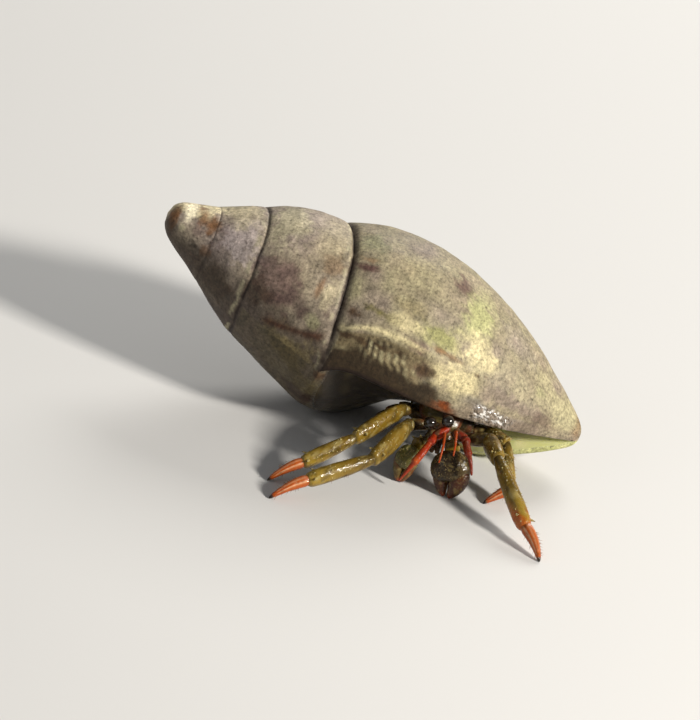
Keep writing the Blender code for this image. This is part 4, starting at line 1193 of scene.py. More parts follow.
def paint_whorls(paint, at):
    """Painted shade on the belly of the older whorls, their paler top, faded and with painted light, and the
    tint of the newest one.
    """
    shade = at.shade()
    paint = mix(paint, SHADE_BROWN, BELLY_DARKER * shade)
    paint = mix(paint, TAN, mark_mask(at, 1.2 * at.warp, BELLY_MARK) * (1.0 - at.body))
    # Paler older whorls away from the painted shade: partly faded colour, partly painted light
    light = 1.0 + overlap(OLD_WHORLS_FADED_AND_LIT, at.along) * (1.0 - shade)
    return paint * light[:, None] * (1.0 - at.body[:, None] * (1.0 - np.array(BODY_TINT)))


def paint_wet(paint, at):
    """Painted highlights of water sparkling at the lip: the paint with them, and the wetness of every point.
    """
    glint = overlap(GLINT, at.near_lip - 4.0 * at.mid, at.along, at.along - at.mid)
    grains = overlap(SPARKLE_HIGHLIGHT_SPOTS, noise(at.points, 0.15, 17), at.near_lip, at.along, at.along - at.mid)
    # Painted highlight: white sparkles of water on the lip
    paint = mix(paint, PAINTED_SPARKLE_WHITE, grains * glint)
    wet = DAMP + overlap(WET_FRONT, at.degrees) * at.body + DAMP * smooth_step(at.mid)
    wet = np.minimum(wet, DAMP_MOST) * (1.0 - glint) + WET_MOST * glint
    smooth = at.below * at.inner_lip
    return paint, np.clip(wet, 0.0, WET_MOST) * (1.0 - smooth) + smooth


def store_streaks(mesh, along, turn):
    """Keep the unwound turn and the distance along the axis, for streaks along the growth lines."""
    whorl = sum((along < suture_at(turn - back * TAU)).astype(float) for back in range(WHORLS_BEFORE_LIP))
    places = np.stack(((turn - whorl * TAU) * STREAK_STRETCH, along, whorl * STREAK_APART), axis=-1)
    mesh.attributes.new("streaks", "FLOAT_VECTOR", "POINT").data.foreach_set(
        "vector", (places * MM).astype(np.float32).ravel())


def paint_lines(paint, at):
    """Dark sutures with a pale rim, partly pale beads and partly painted highlight, and the brown line across
    the older whorl.
    """
    for back in range(WHORLS_BEFORE_LIP):
        suture = suture_at(at.turn - back * TAU)
        past = (at.along - suture) + 0.07 * at.small + 0.05 * at.mid
        wider = overlap(SUTURE_WIDER, at.degrees) * (suture > SUTURE_WIDER_FROM)
        # Pale rim beside each suture: partly pale beads, partly painted highlight where the rounded edge
        # catches the light
        rim = bell(past, *SUTURE_RIM) * (suture > SUTURE_RIM_FROM)
        paint = mix(paint, PALE, 0.6 * rim * smooth_step(0.5 + at.small * 2.0))
        worn = 0.62 + 0.35 * smooth_step(0.6 + at.mid + at.small)
        deep = bell(past, 0.0, SUTURE_LINE[0] + SUTURE_LINE[1] * suture + wider)
        paint = mix(paint, DARK_BROWN, worn * deep * overlap(SUTURE_DARK, suture))
    (start, start_angle), (end, end_angle), width = BROWN_LINE
    share = np.clip((at.along - start) / (end - start), 0.0, 1.0)
    middle = np.radians(start_angle + (end_angle - start_angle) * share)
    far = np.abs(at.angle - middle) * BROWN_LINE_RADIUS + 0.1 * at.small
    fade = smooth_step((at.along - start) / BROWN_LINE_FADE) * smooth_step((end - at.along) / BROWN_LINE_FADE)
    return mix(paint, LINE_BROWN, 0.9 * fade * bell(far, 0.0, width))


def paint_opening(paint, at):
    """Dark edge of the lip, partly painted shade, the orange-brown hollow, and the smooth inner lip in
    painted shade with its green blade.
    """
    # Dark brown lip edge: partly its own colour, partly painted shade of its dark underside
    wide = LIP_LINE + overlap(LIP_LINE_WIDER, at.along)
    edge = smooth_step((wide - at.near_lip) / LIP_LINE_FADE) * at.by_lip
    paint = mix(paint, DARK_BROWN, 0.9 * edge * (1.0 - at.below))
    hollow = at.below * (at.near_lip < INNER_LIP_BEYOND) * (at.along > HOLLOW_FROM)
    paint = mix(paint, ORANGE_BROWN, 0.9 * hollow)
    # Painted shade: the smooth inner lip made dark brown where the green blade doesn't reach
    callus = at.below * at.inner_lip
    paint = mix(paint, INNER_SHADE, callus)
    paint = mix(paint, TAN, callus * 0.25 * smooth_step(at.mid))
    blade = overlap(BLADE, inner_lip_rise(at.along, at.past_lip), at.along) * at.inner_lip
    paint = mix(paint, BLADE_GREEN, blade)
    return mix(paint, CREAM, blade * overlap(BLADE_PALE, at.along) * smooth_step(at.mid - 0.1))


def shell_material():
    """Worn shell: its paint under fine mottling, damp or wet, and sparkling where water beads."""
    material, tree, shader = new_material("worn_shell")
    place = tree.nodes.new("ShaderNodeTexCoord").outputs["Object"]
    paint = attribute(tree, "paint", "Color")
    wet = attribute(tree, "wet", "Fac")
    speck = noise_node(tree, place, *SPECKS)
    plain = map_range(tree, wet, 0.85, 0.97, 0.0, 1.0)
    colour = mix_colour(tree, plain, mottled(tree, place, paint, speck), paint)
    tree.links.new(colour, shader.inputs["Base Color"])
    for socket, span in SHELL_BY_WETNESS.items():
        tree.links.new(map_range(tree, wet, *span), shader.inputs[socket])
    film = product(tree, map_range(tree, wet, *FILM_STARTS), map_range(tree, wet, *FILM_ENDS))
    tree.links.new(film, shader.inputs["Coat Weight"])
    first = add_bump(tree, shader, speck, 0.35, 0.00009)
    second = add_bump(tree, shader, noise_node(tree, place, *SHELL_FINE), 0.25, 0.00004, first)
    last = add_bump(tree, shader, noise_node(tree, place, *BEADS), 1.0, 0.0003, second)
    tree.links.new(film, last.node.inputs["Strength"])
    tree.links.new(last, shader.inputs["Coat Normal"])
    set_sockets(shader, {"Coat Roughness": 0.06, "Subsurface Radius": (1.0, 1.0, 0.5),
                         "Subsurface Scale": 0.0008})
    return material


def mottled(tree, place, paint, speck):
    """Paint of the shell under blotches, streaks along the growth lines and dark specks."""
    streaks = attribute(tree, "streaks", "Vector")
    colour = paint
    for where, spots, low, high in ((place, BLOTCHES, 0.8, 1.16), (streaks, STREAKS, 1.14, 0.86),
                                    (streaks, FINE_STREAKS, 1.08, 0.9), (place, None, 1.3, 0.68)):
        value = noise_node(tree, where, *spots) if spots else speck
        colour = mix_colour(tree, 1.0, colour, map_range(tree, value, *MOTTLING, low, high), "MULTIPLY")
    return mix_colour(tree, map_range(tree, speck, *DARK_SPECKS), colour, DARK_SPECK)


def make_shell():
    """The shell as one fine skin: its spiral surface less the hollow."""
    shell = shell_surface()
    cut(shell, cavity_cutter())
    keep_above_floor(shell.data)
    paint_shell(shell.data)
    shell.data.shade_smooth()
    shell.data.set_sharp_from_angle(angle=SHARP_FROM)
    dress(shell, shell_material(), "shell_surface", "shell")


class Skin:
    """Gathers closed tubes with their paint for one object."""

    def __init__(self):
        """Start without any tube."""
        self.points = []
        self.faces = []
        self.paint = []
        self.wet = []
        self.count = 0

    def add(self, points, faces, paint, wet=0.8):
        """Add a closed tube with its paint and wetness."""
        self.faces += [tuple(corner + self.count for corner in face) for face in faces]
        self.points.append(points)
        self.paint.append(np.broadcast_to(np.asarray(paint, dtype=float), points.shape))
        self.wet.append(np.broadcast_to(np.asarray(wet, dtype=float), (len(points),)))
        self.count += len(points)

    def build(self, name, material, slot, *nodes):
        """Make the object that replaces the given nodes."""
        obj = new_mesh_object(name, np.vstack(self.points), self.faces)
        face_out(obj)
        keep_above_floor(obj.data)
        store_paint(obj.data, np.vstack(self.paint), np.concatenate(self.wet))
        obj.data.shade_smooth()
        dress(obj, material, slot, *nodes)


def tube(path, wide, high, across, sides):
    """Closed tube along a path: its points, faces and the angle of each point round it."""
    path = np.asarray(path, dtype=float)
    ahead = np.gradient(path, axis=0)
    side = np.cross(ahead, np.asarray(across))
    side /= np.linalg.norm(side, axis=1)[:, None]
    up = np.cross(side, ahead)
    up /= np.linalg.norm(up, axis=1)[:, None]
    angle = np.arange(sides) / sides * TAU
    reach = (side[:, None, :] * (wide[:, None] * np.cos(angle))[:, :, None]
             + up[:, None, :] * (high[:, None] * np.sin(angle))[:, :, None])
    rings = (path[:, None, :] + reach).reshape(-1, 3)
    points = np.vstack((path[:1], rings, path[-1:]))
    faces = []
    last = len(points) - 1
    end = last - sides
    for corner in range(sides):
        following = (corner + 1) % sides
        faces.append((0, 1 + corner, 1 + following))
        for ring in range(len(path) - 1):
            a = 1 + ring * sides
            faces.append((a + corner, a + sides + corner, a + sides + following, a + following))
        faces.append((last, end + following, end + corner))
    around = np.concatenate(([0.0], np.tile(angle, len(path)), [0.0]))
    return points, faces, around


def per_point(values, sides):
    """Values of the rings of a tube for each of its points."""
    return np.concatenate((values[:1], np.repeat(values, sides, axis=0), values[-1:]))


def oval(width, height=LIMB_HEIGHT):
    """Half width and half height of a limb, its height given as a share of its width."""
    return width, width * height


def directions(start, end, front=(0.0, 0.0, 1.0)):
    """Directions along a segment, across it, and out of it on the side towards front."""
    ahead = (end - start).normalized()
    side = ahead.cross(Vector(front)).normalized()
    return ahead, side, side.cross(ahead)


def profile_rings(profile, rings):
    """Fractions along a segment and shares of its half width, closest where the profile bends."""
    knots = np.array([pair[0] for pair in profile])
    at = np.linspace(0, len(knots) - 1, rings)
    fraction = np.interp(at, np.arange(len(knots)), knots)
    return fraction, np.maximum(curve_values(profile, fraction), 0.01)


def add_segment(skin, start, end, size, profile, paint, bow=(0.0, 0.0, 0.0), seed=0,
                across=(0.0, 0.0, 1.0), sides=LIMB_SIDES, rings=LIMB_RINGS, rough=0.03):
    """One limb segment of a half width and height; paint gives its colour by fraction, angle and place."""
    fraction, share = profile_rings(profile, rings)
    start = np.array(start)
    end = np.array(end)
    inside = np.clip(fraction, 0.0, 1.0)
    lift = 4.0 * inside * (1.0 - inside)
    path = start + (end - start) * fraction[:, None] + np.array(bow) * lift[:, None]
    points, faces, around = tube(path, size[0] * share, size[1] * share, across, sides)
    bumps = noise(points, SKIN_BUMPS[0], 20 + seed) + SKIN_BUMPS[2] * noise(points, SKIN_BUMPS[1], 40 + seed)
    points = points + (points - per_point(path, sides)) * (rough * bumps)[:, None]
    colours = paint(per_point(fraction, sides), around, points)
    skin.add(points, faces, colours, LIMB_WET + LIMB_WET_VARIES * noise(points, 0.5, 60 + seed))


def limb_paint(base, tip, under=LIMB_DARK, joint=LIMB_PALE, seed=0, end=None):
    """Olive limb that changes towards its far end, mottled, darker underneath as painted shade, dark at its
    root and paler at the joint.
    """
    def paint(at, around, points):
        colour = mix(flat_paint(base, points), tip, overlap(LIMB_TIP, at))
        # Painted shade: the underside darker
        colour = mix(colour, under, overlap(LIMB_UNDERSIDE_SHADE, -np.sin(around) * 0.9))
        spots = noise(points, 0.3, 80 + seed)
        colour = mix(colour, under, overlap(LIMB_SPOTS, spots))
        colour = mix(colour, GRAIN_PALE, overlap(LIMB_GRAINS, noise(points, 0.2, 90 + seed)))
        colour = mix(colour, LIMB_DARK, overlap(LIMB_ROOT, at))
        if end:
            reach = at + 0.12 * np.cos(around * 2.0) + 0.1 * spots
            return mix(colour, end, overlap(LIMB_END, reach))
        return mix(colour, joint, overlap(LIMB_JOINT, at))
    return paint


def toe_paint(base, seed=0):
    """Orange toe with two long pale stripes on each side and a dark claw."""
    def paint(at, around, points):
        colour = mix(flat_paint(base, points), LIMB_OLIVE, overlap(TOE_ROOT, at))
        colour = mix(colour, LIMB_RED, overlap(TOE_SPOTS, noise(points, 0.4, 100 + seed)))
        for place, strength in TOE_STRIPES:
            beside = np.abs(np.degrees(around) - 90.0)
            stripe = bell(beside, place, TOE_STRIPE_WIDTH) * overlap(TOE_STRIPE_REACH, at, at)
            colour = mix(colour, STRIPE, strength * stripe)
        return mix(colour, CLAW, overlap(TOE_CLAW, at))
    return paint


def plain_paint(base, other, size=0.25, seed=0):
    """Skin of one colour with spots of another."""
    def paint(at, around, points):
        return mix(flat_paint(base, points), other, overlap(SKIN_SPOTS, noise(points, size, 110 + seed)))
    return paint


def spine(skin, root, direction, length, width, colour=GRAIN_PALE):
    """Pale spine with a dark point, sunk in the limb that it grows from."""
    direction = direction.normalized()
    share = np.linspace(0.0, 1.0, SPINE_RINGS)
    reach = -width + (length + width) * share
    path = np.array(root) + np.array(direction) * reach[:, None]
    radius = width * (1.0 - share ** SPINE_CURVE) * SPINE_SLIM + SPINE_POINT
    points, faces, _ = tube(path, radius, radius, (0.3, 0.2, 0.9), SPINE_SIDES)
    dark = overlap(SPINE_DARK, per_point(share, SPINE_SIDES))
    skin.add(points, faces, mix(flat_paint(colour, points), CLAW, dark))


def joint_spines(skin, start, end, width, count, rng):
    """Spines round the upper half of a segment's far end."""
    ahead, side, up = directions(start, end)
    for index in range(count):
        angle = math.radians(SPINE_ARC[0] + SPINE_ARC[1] * index / max(1, count - 1))
        angle += rng.uniform(-SPINE_STRAY, SPINE_STRAY)
        out = side * math.cos(angle) + up * math.sin(angle)
        root = start.lerp(end, SPINE_PLACES[0] + SPINE_PLACES[1] * (index % 2)) + out * width * SPINE_ROOT
        spine(skin, root, out + ahead * SPINE_LEAN, rng.uniform(*SPINE_LENGTH), SPINE_WIDTH)


def add_granules(skin, start, end, size, profile, front, count, colour, rng):
    """Small blunt grains over the side of a segment towards front."""
    width, height = size
    ahead, side, facing = directions(start, end, front)
    for _ in range(count):
        at = rng.uniform(*GRANULE_SPAN)
        turn = rng.uniform(-GRANULES_ROUND, GRANULES_ROUND)
        narrow = float(curve_values(profile, at))
        out = facing * math.cos(turn) * height + side * math.sin(turn) * width
        root = start.lerp(end, at) + out * narrow * GRANULE_ROOT
        spine(skin, root, out.normalized() + ahead * GRANULE_LEAN, rng.uniform(*GRANULE_LENGTH),
              rng.uniform(*GRANULE_WIDTH), colour)


def add_hip(skin, root, way, width, seed):
    """Short base of a limb, from below the shield to its root."""
    start = HEAD + Vector((HIP_SIDE * way, HIP_BACK, HIP_LOW))
    seed += HIP_SEEDS
    add_segment(skin, start, root, (width * HIP_NARROW, width), PLATE_PROFILE,
                limb_paint(SKIN_BROWN, HAND_OLIVE, CLAW, SKIN_BROWN, seed), seed=seed, sides=20, rings=20)


def make_bristles(name, joints, widths, toe_bow, rng):
    """Short stiff bristles along the last three segments of a leg, each a thin closed cone."""
    points = []
    faces = []
    patches = []
    for part, segment in enumerate(zip(joints[:-1], joints[1:], widths)):
        for _ in range(BRISTLES_EACH):
            cone, cone_faces, patch = bristle(part, segment, toe_bow, len(points) * CONE_POINTS, rng)
            points.append(cone)
            faces += cone_faces
            patches.append(patch)
    obj = new_mesh_object("bristles_" + name, np.vstack(points), faces)
    face_out(obj)
    keep_above_floor(obj.data)
    map_patches(obj.data, patches, CONE_POINTS)
    count = len(obj.data.vertices)
    store_paint(obj.data, flat_paint(BRISTLE, range(count)), np.ones(count))
    obj.data.shade_smooth()
    dress(obj, bpy.data.materials["bristle"], "limb")


def bristle(part, segment, toe_bow, first, rng):
    """One bristle on a segment: its points, its faces and its place on the unwrapped limb."""
    start, end, width = segment
    ahead, side, up = directions(start, end)
    at = rng.uniform(*BRISTLE_SPAN)
    row = rng.choice(BRISTLE_ROWS) + rng.uniform(-BRISTLE_STRAY, BRISTLE_STRAY)
    out = side * math.cos(row) + up * math.sin(row)
    on_toe = part == 2
    narrow = float(curve_values(TOE_PROFILE if on_toe else PLATE_PROFILE, at))
    bow = Vector(toe_bow) * 4.0 * at * (1.0 - at) if on_toe else Vector()
    root = start.lerp(end, at) + bow + out * width * narrow * BRISTLE_ROOT
    reach = (out + ahead * rng.uniform(*BRISTLE_LEAN)).normalized()
    length = rng.uniform(*BRISTLE_LENGTH)
    points, faces = cone_mesh(np.array(root), np.array(reach), length, BRISTLE_WIDTH, first)
    return points, faces, (part / 3 + at / 3.1, (row / TAU) % 1.0)


def cone_mesh(root, reach, length, width, first):
    """Two rings of four points and a tip: a bent thin cone, with the numbers of its faces."""
    side = np.cross(reach, (0.21, 0.35, 0.91))
    side /= np.linalg.norm(side)
    up = np.cross(side, reach)
    turn = np.arange(4) / 4 * TAU
    ring = np.cos(turn)[:, None] * side + np.sin(turn)[:, None] * up
    middle = root + reach * length * CONE_MIDDLE
    tip = root + reach * length + up * length * CONE_BEND
    points = np.vstack((root + ring * width, middle + ring * width * CONE_TAPER, tip[None]))
    faces = [(first + 3, first + 2, first + 1, first)]
    for corner in range(4):
        following = (corner + 1) % 4
        faces.append((first + corner, first + following, first + 4 + following, first + 4 + corner))
        faces.append((first + 4 + corner, first + 4 + following, first + 8))
    return points, faces


def map_patches(mesh, patches, size):
    """UV map OFBake with a tiny patch for each tuft at its root's place on the unwrapped limb."""
    layer = mesh.uv_layers.new(name="OFBake")
    vertices = np.empty(len(mesh.loops), dtype=np.int32)
    mesh.loops.foreach_get("vertex_index", vertices)
    centres = np.array(patches) * (1.0 - 2 * UV_MARGIN) + UV_MARGIN
    turn = (vertices % size) / size * TAU
    across = np.stack((np.cos(turn), np.sin(turn)), axis=-1) * PATCH_SIZE / 2
    layer.data.foreach_set("uv", (centres[vertices // size] + across).astype(np.float32).ravel())


def make_leg(name, steps, sizes, toe_bow, material, seed):
    """Walking leg as one skin from its hip under the shield to the claw."""
    rng = random.Random(seed)
    root, knee, ankle, wrist, tip = chain(HEAD, steps)
    tip.z = TOE_ON_FLOOR
    thigh, shin, hand, toe = sizes
    right = steps[0][0] < 0.0
    skin = Skin()
    add_hip(skin, root, -1.0 if right else 1.0, thigh, seed)
    # The thigh is painted dark brown: painted shade where it runs back under the shell
    add_segment(skin, root, knee, oval(thigh), PLATE_PROFILE,
                limb_paint(SKIN_BROWN, HAND_OLIVE, joint=HAND_DARK, seed=seed), seed=seed)
    plates = ((knee, ankle, oval(shin, MERUS_HEIGHT), MERUS_PROFILE, LIMB_OLIVE, None, SPINES_AT_JOINT),
              (ankle, wrist, oval(hand), PLATE_PROFILE, LIMB_PALE, None if right else LIMB_ORANGE,
               SPINES_AT_JOINT - 1))
    for number, (start, end, size, profile, pale, orange, spines) in enumerate(plates, 1):
        paint = limb_paint(LIMB_OLIVE, pale, seed=seed + number, end=orange)
        add_segment(skin, start, end, size, profile, paint, seed=seed + number)
        joint_spines(skin, start, end, size[0], spines, rng)
    for start, end, size, profile, *_ in plates:
        add_granules(skin, start, end, size, profile, LEG_FRONT, LEG_GRANULES, GRAIN_CREAM, rng)
    add_segment(skin, wrist, tip, oval(toe), TOE_PROFILE, toe_paint(LIMB_ORANGE, seed), toe_bow, seed + 3)
    skin.build(name + "_skin", material, "limb", name + "_upper", name + "_lower")
    make_bristles(name, (knee, ankle, wrist, tip), (shin, hand, toe), toe_bow, rng)


def make_small_leg(name, steps, material):
    """Short leg of the fourth pair, four plain segments."""
    joints = chain(HEAD, steps)
    size = oval(SMALL_LEG_SIZE)
    skin = Skin()
    for index, (start, end) in enumerate(zip(joints[:-2], joints[1:-1])):
        add_segment(skin, start, end, size, PLATE_PROFILE, limb_paint(HAND_DARK, SKIN_BROWN, seed=index),
                    sides=SMALL_LEG_SIDES, seed=index)
    add_segment(skin, *joints[-2:], size, TOE_PROFILE, toe_paint(SKIN_BROWN), SMALL_TOE_BOW,
                sides=SMALL_LEG_SIDES)
    skin.build(name + "_skin", material, "limb", name)


def hand_paint(base, other, edge, seed):
    """Mottled palm or finger with small pale grains, changing towards its far end."""
    def paint(at, around, points):
        colour = mix(flat_paint(base, points), other, overlap(PALM_CLOUDS, noise(points, 0.8, 120 + seed)))
        colour = mix(colour, GRAIN_PALE, overlap(PALM_GRAINS, noise(points, 0.16, 130 + seed)))
        return mix(colour, edge, overlap(PALM_END, at))
    return paint


def make_hand(name, wrist, steps, size, shades, material, rng, seed):
    """Claw of one palm with a fixed and a moving finger, slightly parted."""
    dark, olive, finger, grain = shades
    knuckle = wrist + Vector(steps[0])
    tips = [Vector((knuckle.x + step[0], knuckle.y + step[1], FINGERTIP_HEIGHT)) for step in steps[1:]]
    middle = (tips[0] + tips[1]) / 2
    tips = [middle.lerp(tip, FINGERTIPS_CLOSE) for tip in tips]
    apart = (tips[1] - tips[0]).normalized() * size[0]
    skin = Skin()
    add_segment(skin, wrist, knuckle, size, PALM_PROFILE, hand_paint(dark, olive, dark, seed),
                across=(0.0, 1.0, 0.0), sides=48, rings=48, seed=seed, rough=0.02)
    add_granules(skin, wrist, knuckle, size, PALM_PROFILE, (0.0, -1.0, 0.0), PALM_GRANULES, grain, rng)
    for tip, share, way in zip(tips, (FIXED_FINGER, FREE_FINGER), (-1.0, 1.0)):
        add_segment(skin, knuckle + apart * FINGER_APART * way, tip, (size[0] * share[0], size[1] * share[1]),
                    FINGER_PROFILE, hand_paint(finger, dark, LIMB_RED, seed + 1),
                    apart * FINGER_BOW * way, seed=seed + 1, across=(0.0, 1.0, 0.0), sides=36, rough=0.02)
    skin.build(name + "_skin", material, "limb", name)


def make_cheliped(name, arm_steps, arm_sizes, to_hand, to_knuckle, to_fixed, to_free, size, material, seed):
    """Claw leg: a short spiny arm and its hand."""
    rng = random.Random(seed)
    root, elbow, wrist = chain(HEAD, arm_steps)
    hand_start = wrist + Vector(to_hand)
    upper, lower = arm_sizes
    skin = Skin()
    add_hip(skin, root, 0.6 * math.copysign(1.0, arm_steps[0][0]), upper, seed)
    add_segment(skin, root, elbow, oval(upper), PLATE_PROFILE,
                limb_paint(HAND_OLIVE, HAND_OLIVE, seed=seed), seed=seed)
    add_segment(skin, elbow, wrist.lerp(hand_start, 0.4), oval(lower), PLATE_PROFILE,
                limb_paint(HAND_OLIVE, LIMB_OLIVE, seed=seed + 1), seed=seed + 1)
    joint_spines(skin, elbow, wrist, lower, SPINES_AT_JOINT, rng)
    skin.build(name + "_arm_skin", material, "limb", name + "_arm")
    make_hand(name + "_hand", hand_start, (to_knuckle, to_fixed, to_free), size, HAND_SHADES[name], material,
              rng, seed)


def smooth_path(points, steps):
    """Points of a smooth curve through the given points, steps per span."""
    points = [np.array(point) for point in points]
    path = []
    for index in range(len(points) - 1):
        p1 = points[index]
        p2 = points[index + 1]
        p0 = points[index - 1] if index else p1 * 2 - p2
        p3 = points[index + 2] if index + 2 < len(points) else p2 * 2 - p1
        for step in range(steps):
            t = step / steps
            path.append(0.5 * (2 * p1 + (p2 - p0) * t + (2 * p0 - 5 * p1 + 4 * p2 - p3) * t ** 2
                               + (3 * p1 - p0 - 3 * p2 + p3) * t ** 3))
    path.append(points[-1])
    return np.array(path)


def add_feeler(skin, points, profile, paint, steps=30):
    """Ringed feeler along a smooth curve, with its radius by fraction of the length."""
    path = smooth_path(points, steps)
    share = np.linspace(0.0, 1.0, len(path))
    length = np.linalg.norm(np.diff(path, axis=0), axis=1).sum()
    radius = curve_values(profile, share) * np.sqrt(np.clip((1.0 - share) / 0.04, 1e-4, 1.0))
    radius *= 1.0 + FEELER_RING_HEIGHT * np.cos(share * length / FEELER_RING_EVERY * TAU)
    tube_points, faces, around = tube(path, radius, radius, (0.2, 0.3, 0.9), FEELER_SIDES)
    skin.add(tube_points, faces, paint(per_point(share, FEELER_SIDES), around, tube_points), FEELER_WET)


def feeler_paint(base, other, rings=26, knee=None):
    """Feeler ringed in two reds, orange round its knee if it has one."""
    def paint(at, around, points):
        colour = mix(flat_paint(base, points), other, 0.45 + 0.45 * np.cos(at * TAU * rings))
        if knee is None:
            return colour
        return mix(colour, FEELER_ORANGE, 0.8 * bell(at, knee, 0.06))
    return paint


def make_antenna(name, steps, material):
    """Antenna: its thick red base below the eye, stalk and whip."""
    red, other, orange_knee = ANTENNA_SHADES[name]
    base, bend, *whip = chain(HEAD, steps)
    root = HEAD + Vector(PEDUNCLE_STEPS[name])
    skin = Skin()
    add_segment(skin, root, base.lerp(bend, 0.2), PEDUNCLE_SIZE, PLATE_PROFILE,
                plain_paint(red, SKIN_BROWN, 0.3), sides=20, rings=24)
    add_segment(skin, base, bend, (ANTENNA_STALK, ANTENNA_STALK), PLATE_PROFILE,
                plain_paint(red, other, 0.3), sides=20)
    add_feeler(skin, [bend.lerp(base, 0.25)] + whip, ANTENNA_WHIP,
               feeler_paint(red, other, 40, ANTENNA_KNEE if orange_knee else None))
    skin.build(name + "_skin", material, "feeler", name)


def make_antennule(name, steps, material):
    """Thin orange feeler between the eyes."""
    skin = Skin()
    add_feeler(skin, chain(HEAD, steps), ANTENNULE, feeler_paint(FEELER_ORANGE, FEELER_RED))
    skin.build(name + "_skin", material, "feeler", name)


def make_mouthparts(material):
    """Two short dark palps below the head."""
    skin = Skin()
    for steps in MOUTH_PALPS:
        add_feeler(skin, chain(HEAD, steps), MOUTH_PALP, feeler_paint(HAND_DARK, SKIN_BROWN, 8), steps=16)
    skin.build("mouthparts_skin", material, "limb", "mouthparts")


def make_eye(side, steps, stalk_material, eye_material):
    """Round glossy cornea with the stalk that carries it."""
    root, centre = chain(HEAD, steps)
    ahead = np.array((centre - root).normalized())
    share = np.linspace(0.0, 1.0, EYESTALK_SIDES)
    path = np.array(root) + ahead * (share * ((centre - root).length - EYESTALK_SHORT))[:, None]
    radius = EYESTALK * (0.86 + 0.36 * smooth_step((share - 0.55) / 0.45))
    radius = radius * np.minimum(1.0, share / 0.04 + 0.05)
    points, faces, _ = tube(path, radius, radius, (0.2, 0.9, 0.3), EYESTALK_SIDES)
    stalk = Skin()
    stalk.add(points, faces, plain_paint(SKIN_BROWN, LIMB_OLIVE, 0.3)(None, None, points), 0.9)
    stalk.build("eyestalk_" + side + "_skin", stalk_material, "limb", "eyestalk_" + side)
    turn = np.pi * np.arange(1, EYE_RINGS) / EYE_RINGS
    path = np.array(centre) - ahead * (EYE_RADIUS * np.cos(turn))[:, None]
    radius = EYE_RADIUS * np.sin(turn)
    points, faces, _ = tube(path, radius, radius, (0.0, 0.0, 1.0), EYE_SIDES)
    ring = overlap(EYE_RING_REACH, per_point(np.cos(turn), EYE_SIDES))
    eye = Skin()
    eye.add(points, faces, mix(flat_paint(EYE_DARK, points), EYE_RING, ring), 1.0)
    eye.build("eye_" + side + "_skin", eye_material, "cornea", "eye_" + side)


def add_soft_tube(skin, path, widths, heights, face, sides, paint):
    """Soft tube with round ends along a path, its half width and height by fraction of the length."""
    share = np.linspace(0.0, 1.0, len(path))
    cap = np.sqrt(np.clip(np.minimum(share, 1.0 - share) / SOFT_END, 0.01, 1.0))
    points, faces, _ = tube(path, curve_values(widths, share) * cap, curve_values(heights, share) * cap,
                            face, sides)
    skin.add(points, faces, paint(None, None, points))


def make_body(material):
    """Head shield with its soft flanks, and soft hind body."""
    skin = Skin()
    add_soft_tube(skin, smooth_path(chain(HEAD, CARAPACE_STEPS), 12), CARAPACE_WIDTH, CARAPACE_THICKNESS,
                  CARAPACE_FACE, 48, plain_paint(SKIN_BROWN, HAND_OLIVE, 0.5))
    for start, end, size in FLANKS:
        add_segment(skin, HEAD + Vector(start), HEAD + Vector(end), (size, size), PLATE_PROFILE,
                    plain_paint(HAND_DARK, SKIN_BROWN, 0.5), sides=32)
    skin.build("carapace_skin", material, "soft_body", "carapace")
    along, radius, degrees, widths, heights = np.array(ABDOMEN).T
    centres = shell_points(along, radius, np.radians(degrees))
    knots = np.linspace(0.0, 1.0, len(ABDOMEN))
    skin = Skin()
    add_soft_tube(skin, smooth_path(centres, 10), list(zip(knots, widths)), list(zip(knots, heights)),
                  ABDOMEN_FACE, 40, plain_paint(SKIN_BROWN, ORANGE_BROWN, 0.8))
    skin.build("abdomen_skin", material, "soft_body", "abdomen")


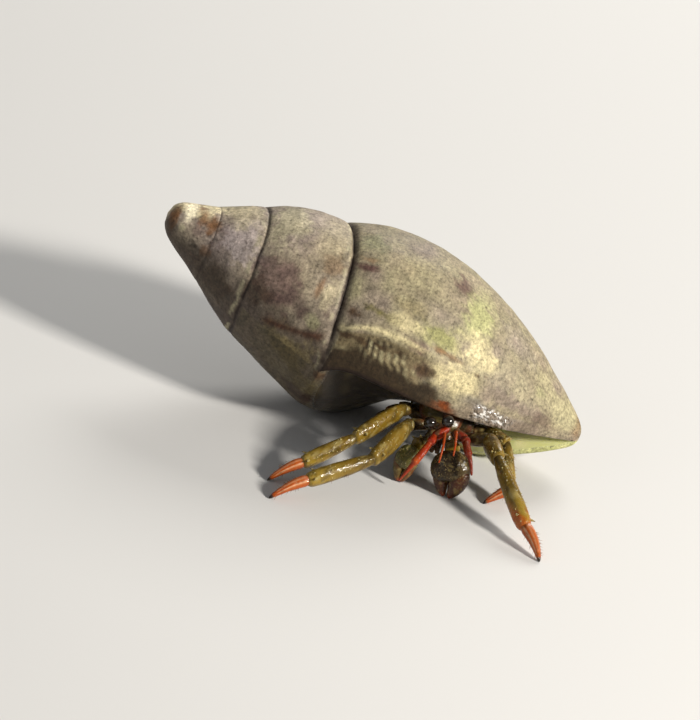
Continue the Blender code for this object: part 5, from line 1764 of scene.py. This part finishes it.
def limb_material(name, subsurface, coat):
    """Wet horny or soft skin with fine grains, lit through a little."""
    material, tree, shader = new_material(name)
    place = tree.nodes.new("ShaderNodeTexCoord").outputs["Object"]
    paint = attribute(tree, "paint", "Color")
    grain = noise_node(tree, place, *LIMB_GRAIN)
    colour = mix_colour(tree, map_range(tree, grain, 0.55, 0.75, 0.0, 0.35), paint, GRAIN_PALE)
    tree.links.new(colour, shader.inputs["Base Color"])
    roughness = map_range(tree, attribute(tree, "wet", "Fac"), 0.0, 1.0, 0.55, 0.24)
    tree.links.new(roughness, shader.inputs["Roughness"])
    set_sockets(shader, {"Subsurface Weight": subsurface, "Subsurface Radius": (1.0, 0.45, 0.2),
                         "Subsurface Scale": 0.0003, "Specular IOR Level": 0.14,
                         "Coat Weight": coat, "Coat Roughness": 0.05})
    first = add_bump(tree, shader, noise_node(tree, place, *LIMB_RIPPLES), 0.7, 0.00009)
    tree.links.new(add_bump(tree, shader, grain, 0.5, 0.00004, first), shader.inputs["Coat Normal"])
    return material


def bristle_material():
    """Stiff bristles, a little lit through."""
    _, tree, shader = new_material("bristle")
    tree.links.new(attribute(tree, "paint", "Color"), shader.inputs["Base Color"])
    set_sockets(shader, {"Roughness": 0.35, "Subsurface Weight": 0.2, "Subsurface Scale": 0.0001})


def eye_material():
    """Dark glossy cornea."""
    material, tree, shader = new_material("glossy_eye")
    tree.links.new(attribute(tree, "paint", "Color"), shader.inputs["Base Color"])
    set_sockets(shader, {"Roughness": 0.12, "Specular IOR Level": 0.25, "Coat Weight": 0.8,
                         "Coat Roughness": 0.03})
    return material


def main():
    """Make every piece, then the studio and the camera."""
    limb = limb_material("wet_limb", 0.12, 0.4)
    feeler = limb_material("wet_feeler", 0.15, 0.4)
    soft = limb_material("soft_skin", 0.3, 0.4)
    eye = eye_material()
    bristle_material()
    make_shell()
    for seed, (name, leg) in enumerate(LEGS.items()):
        make_leg(name, *leg, limb, seed)
    for name, steps in SMALL_LEGS.items():
        make_small_leg(name, steps, limb)
    for seed, (name, cheliped) in enumerate(CHELIPEDS.items()):
        make_cheliped(name, *cheliped, limb, len(LEGS) + seed)
    for name, steps in ANTENNAE.items():
        make_antenna(name, steps, feeler)
    for name, steps in ANTENNULES.items():
        make_antennule(name, steps, feeler)
    make_mouthparts(limb)
    for side, steps in EYES.items():
        make_eye(side, steps, limb, eye)
    make_body(soft)
    make_studio()
    make_camera()


main()
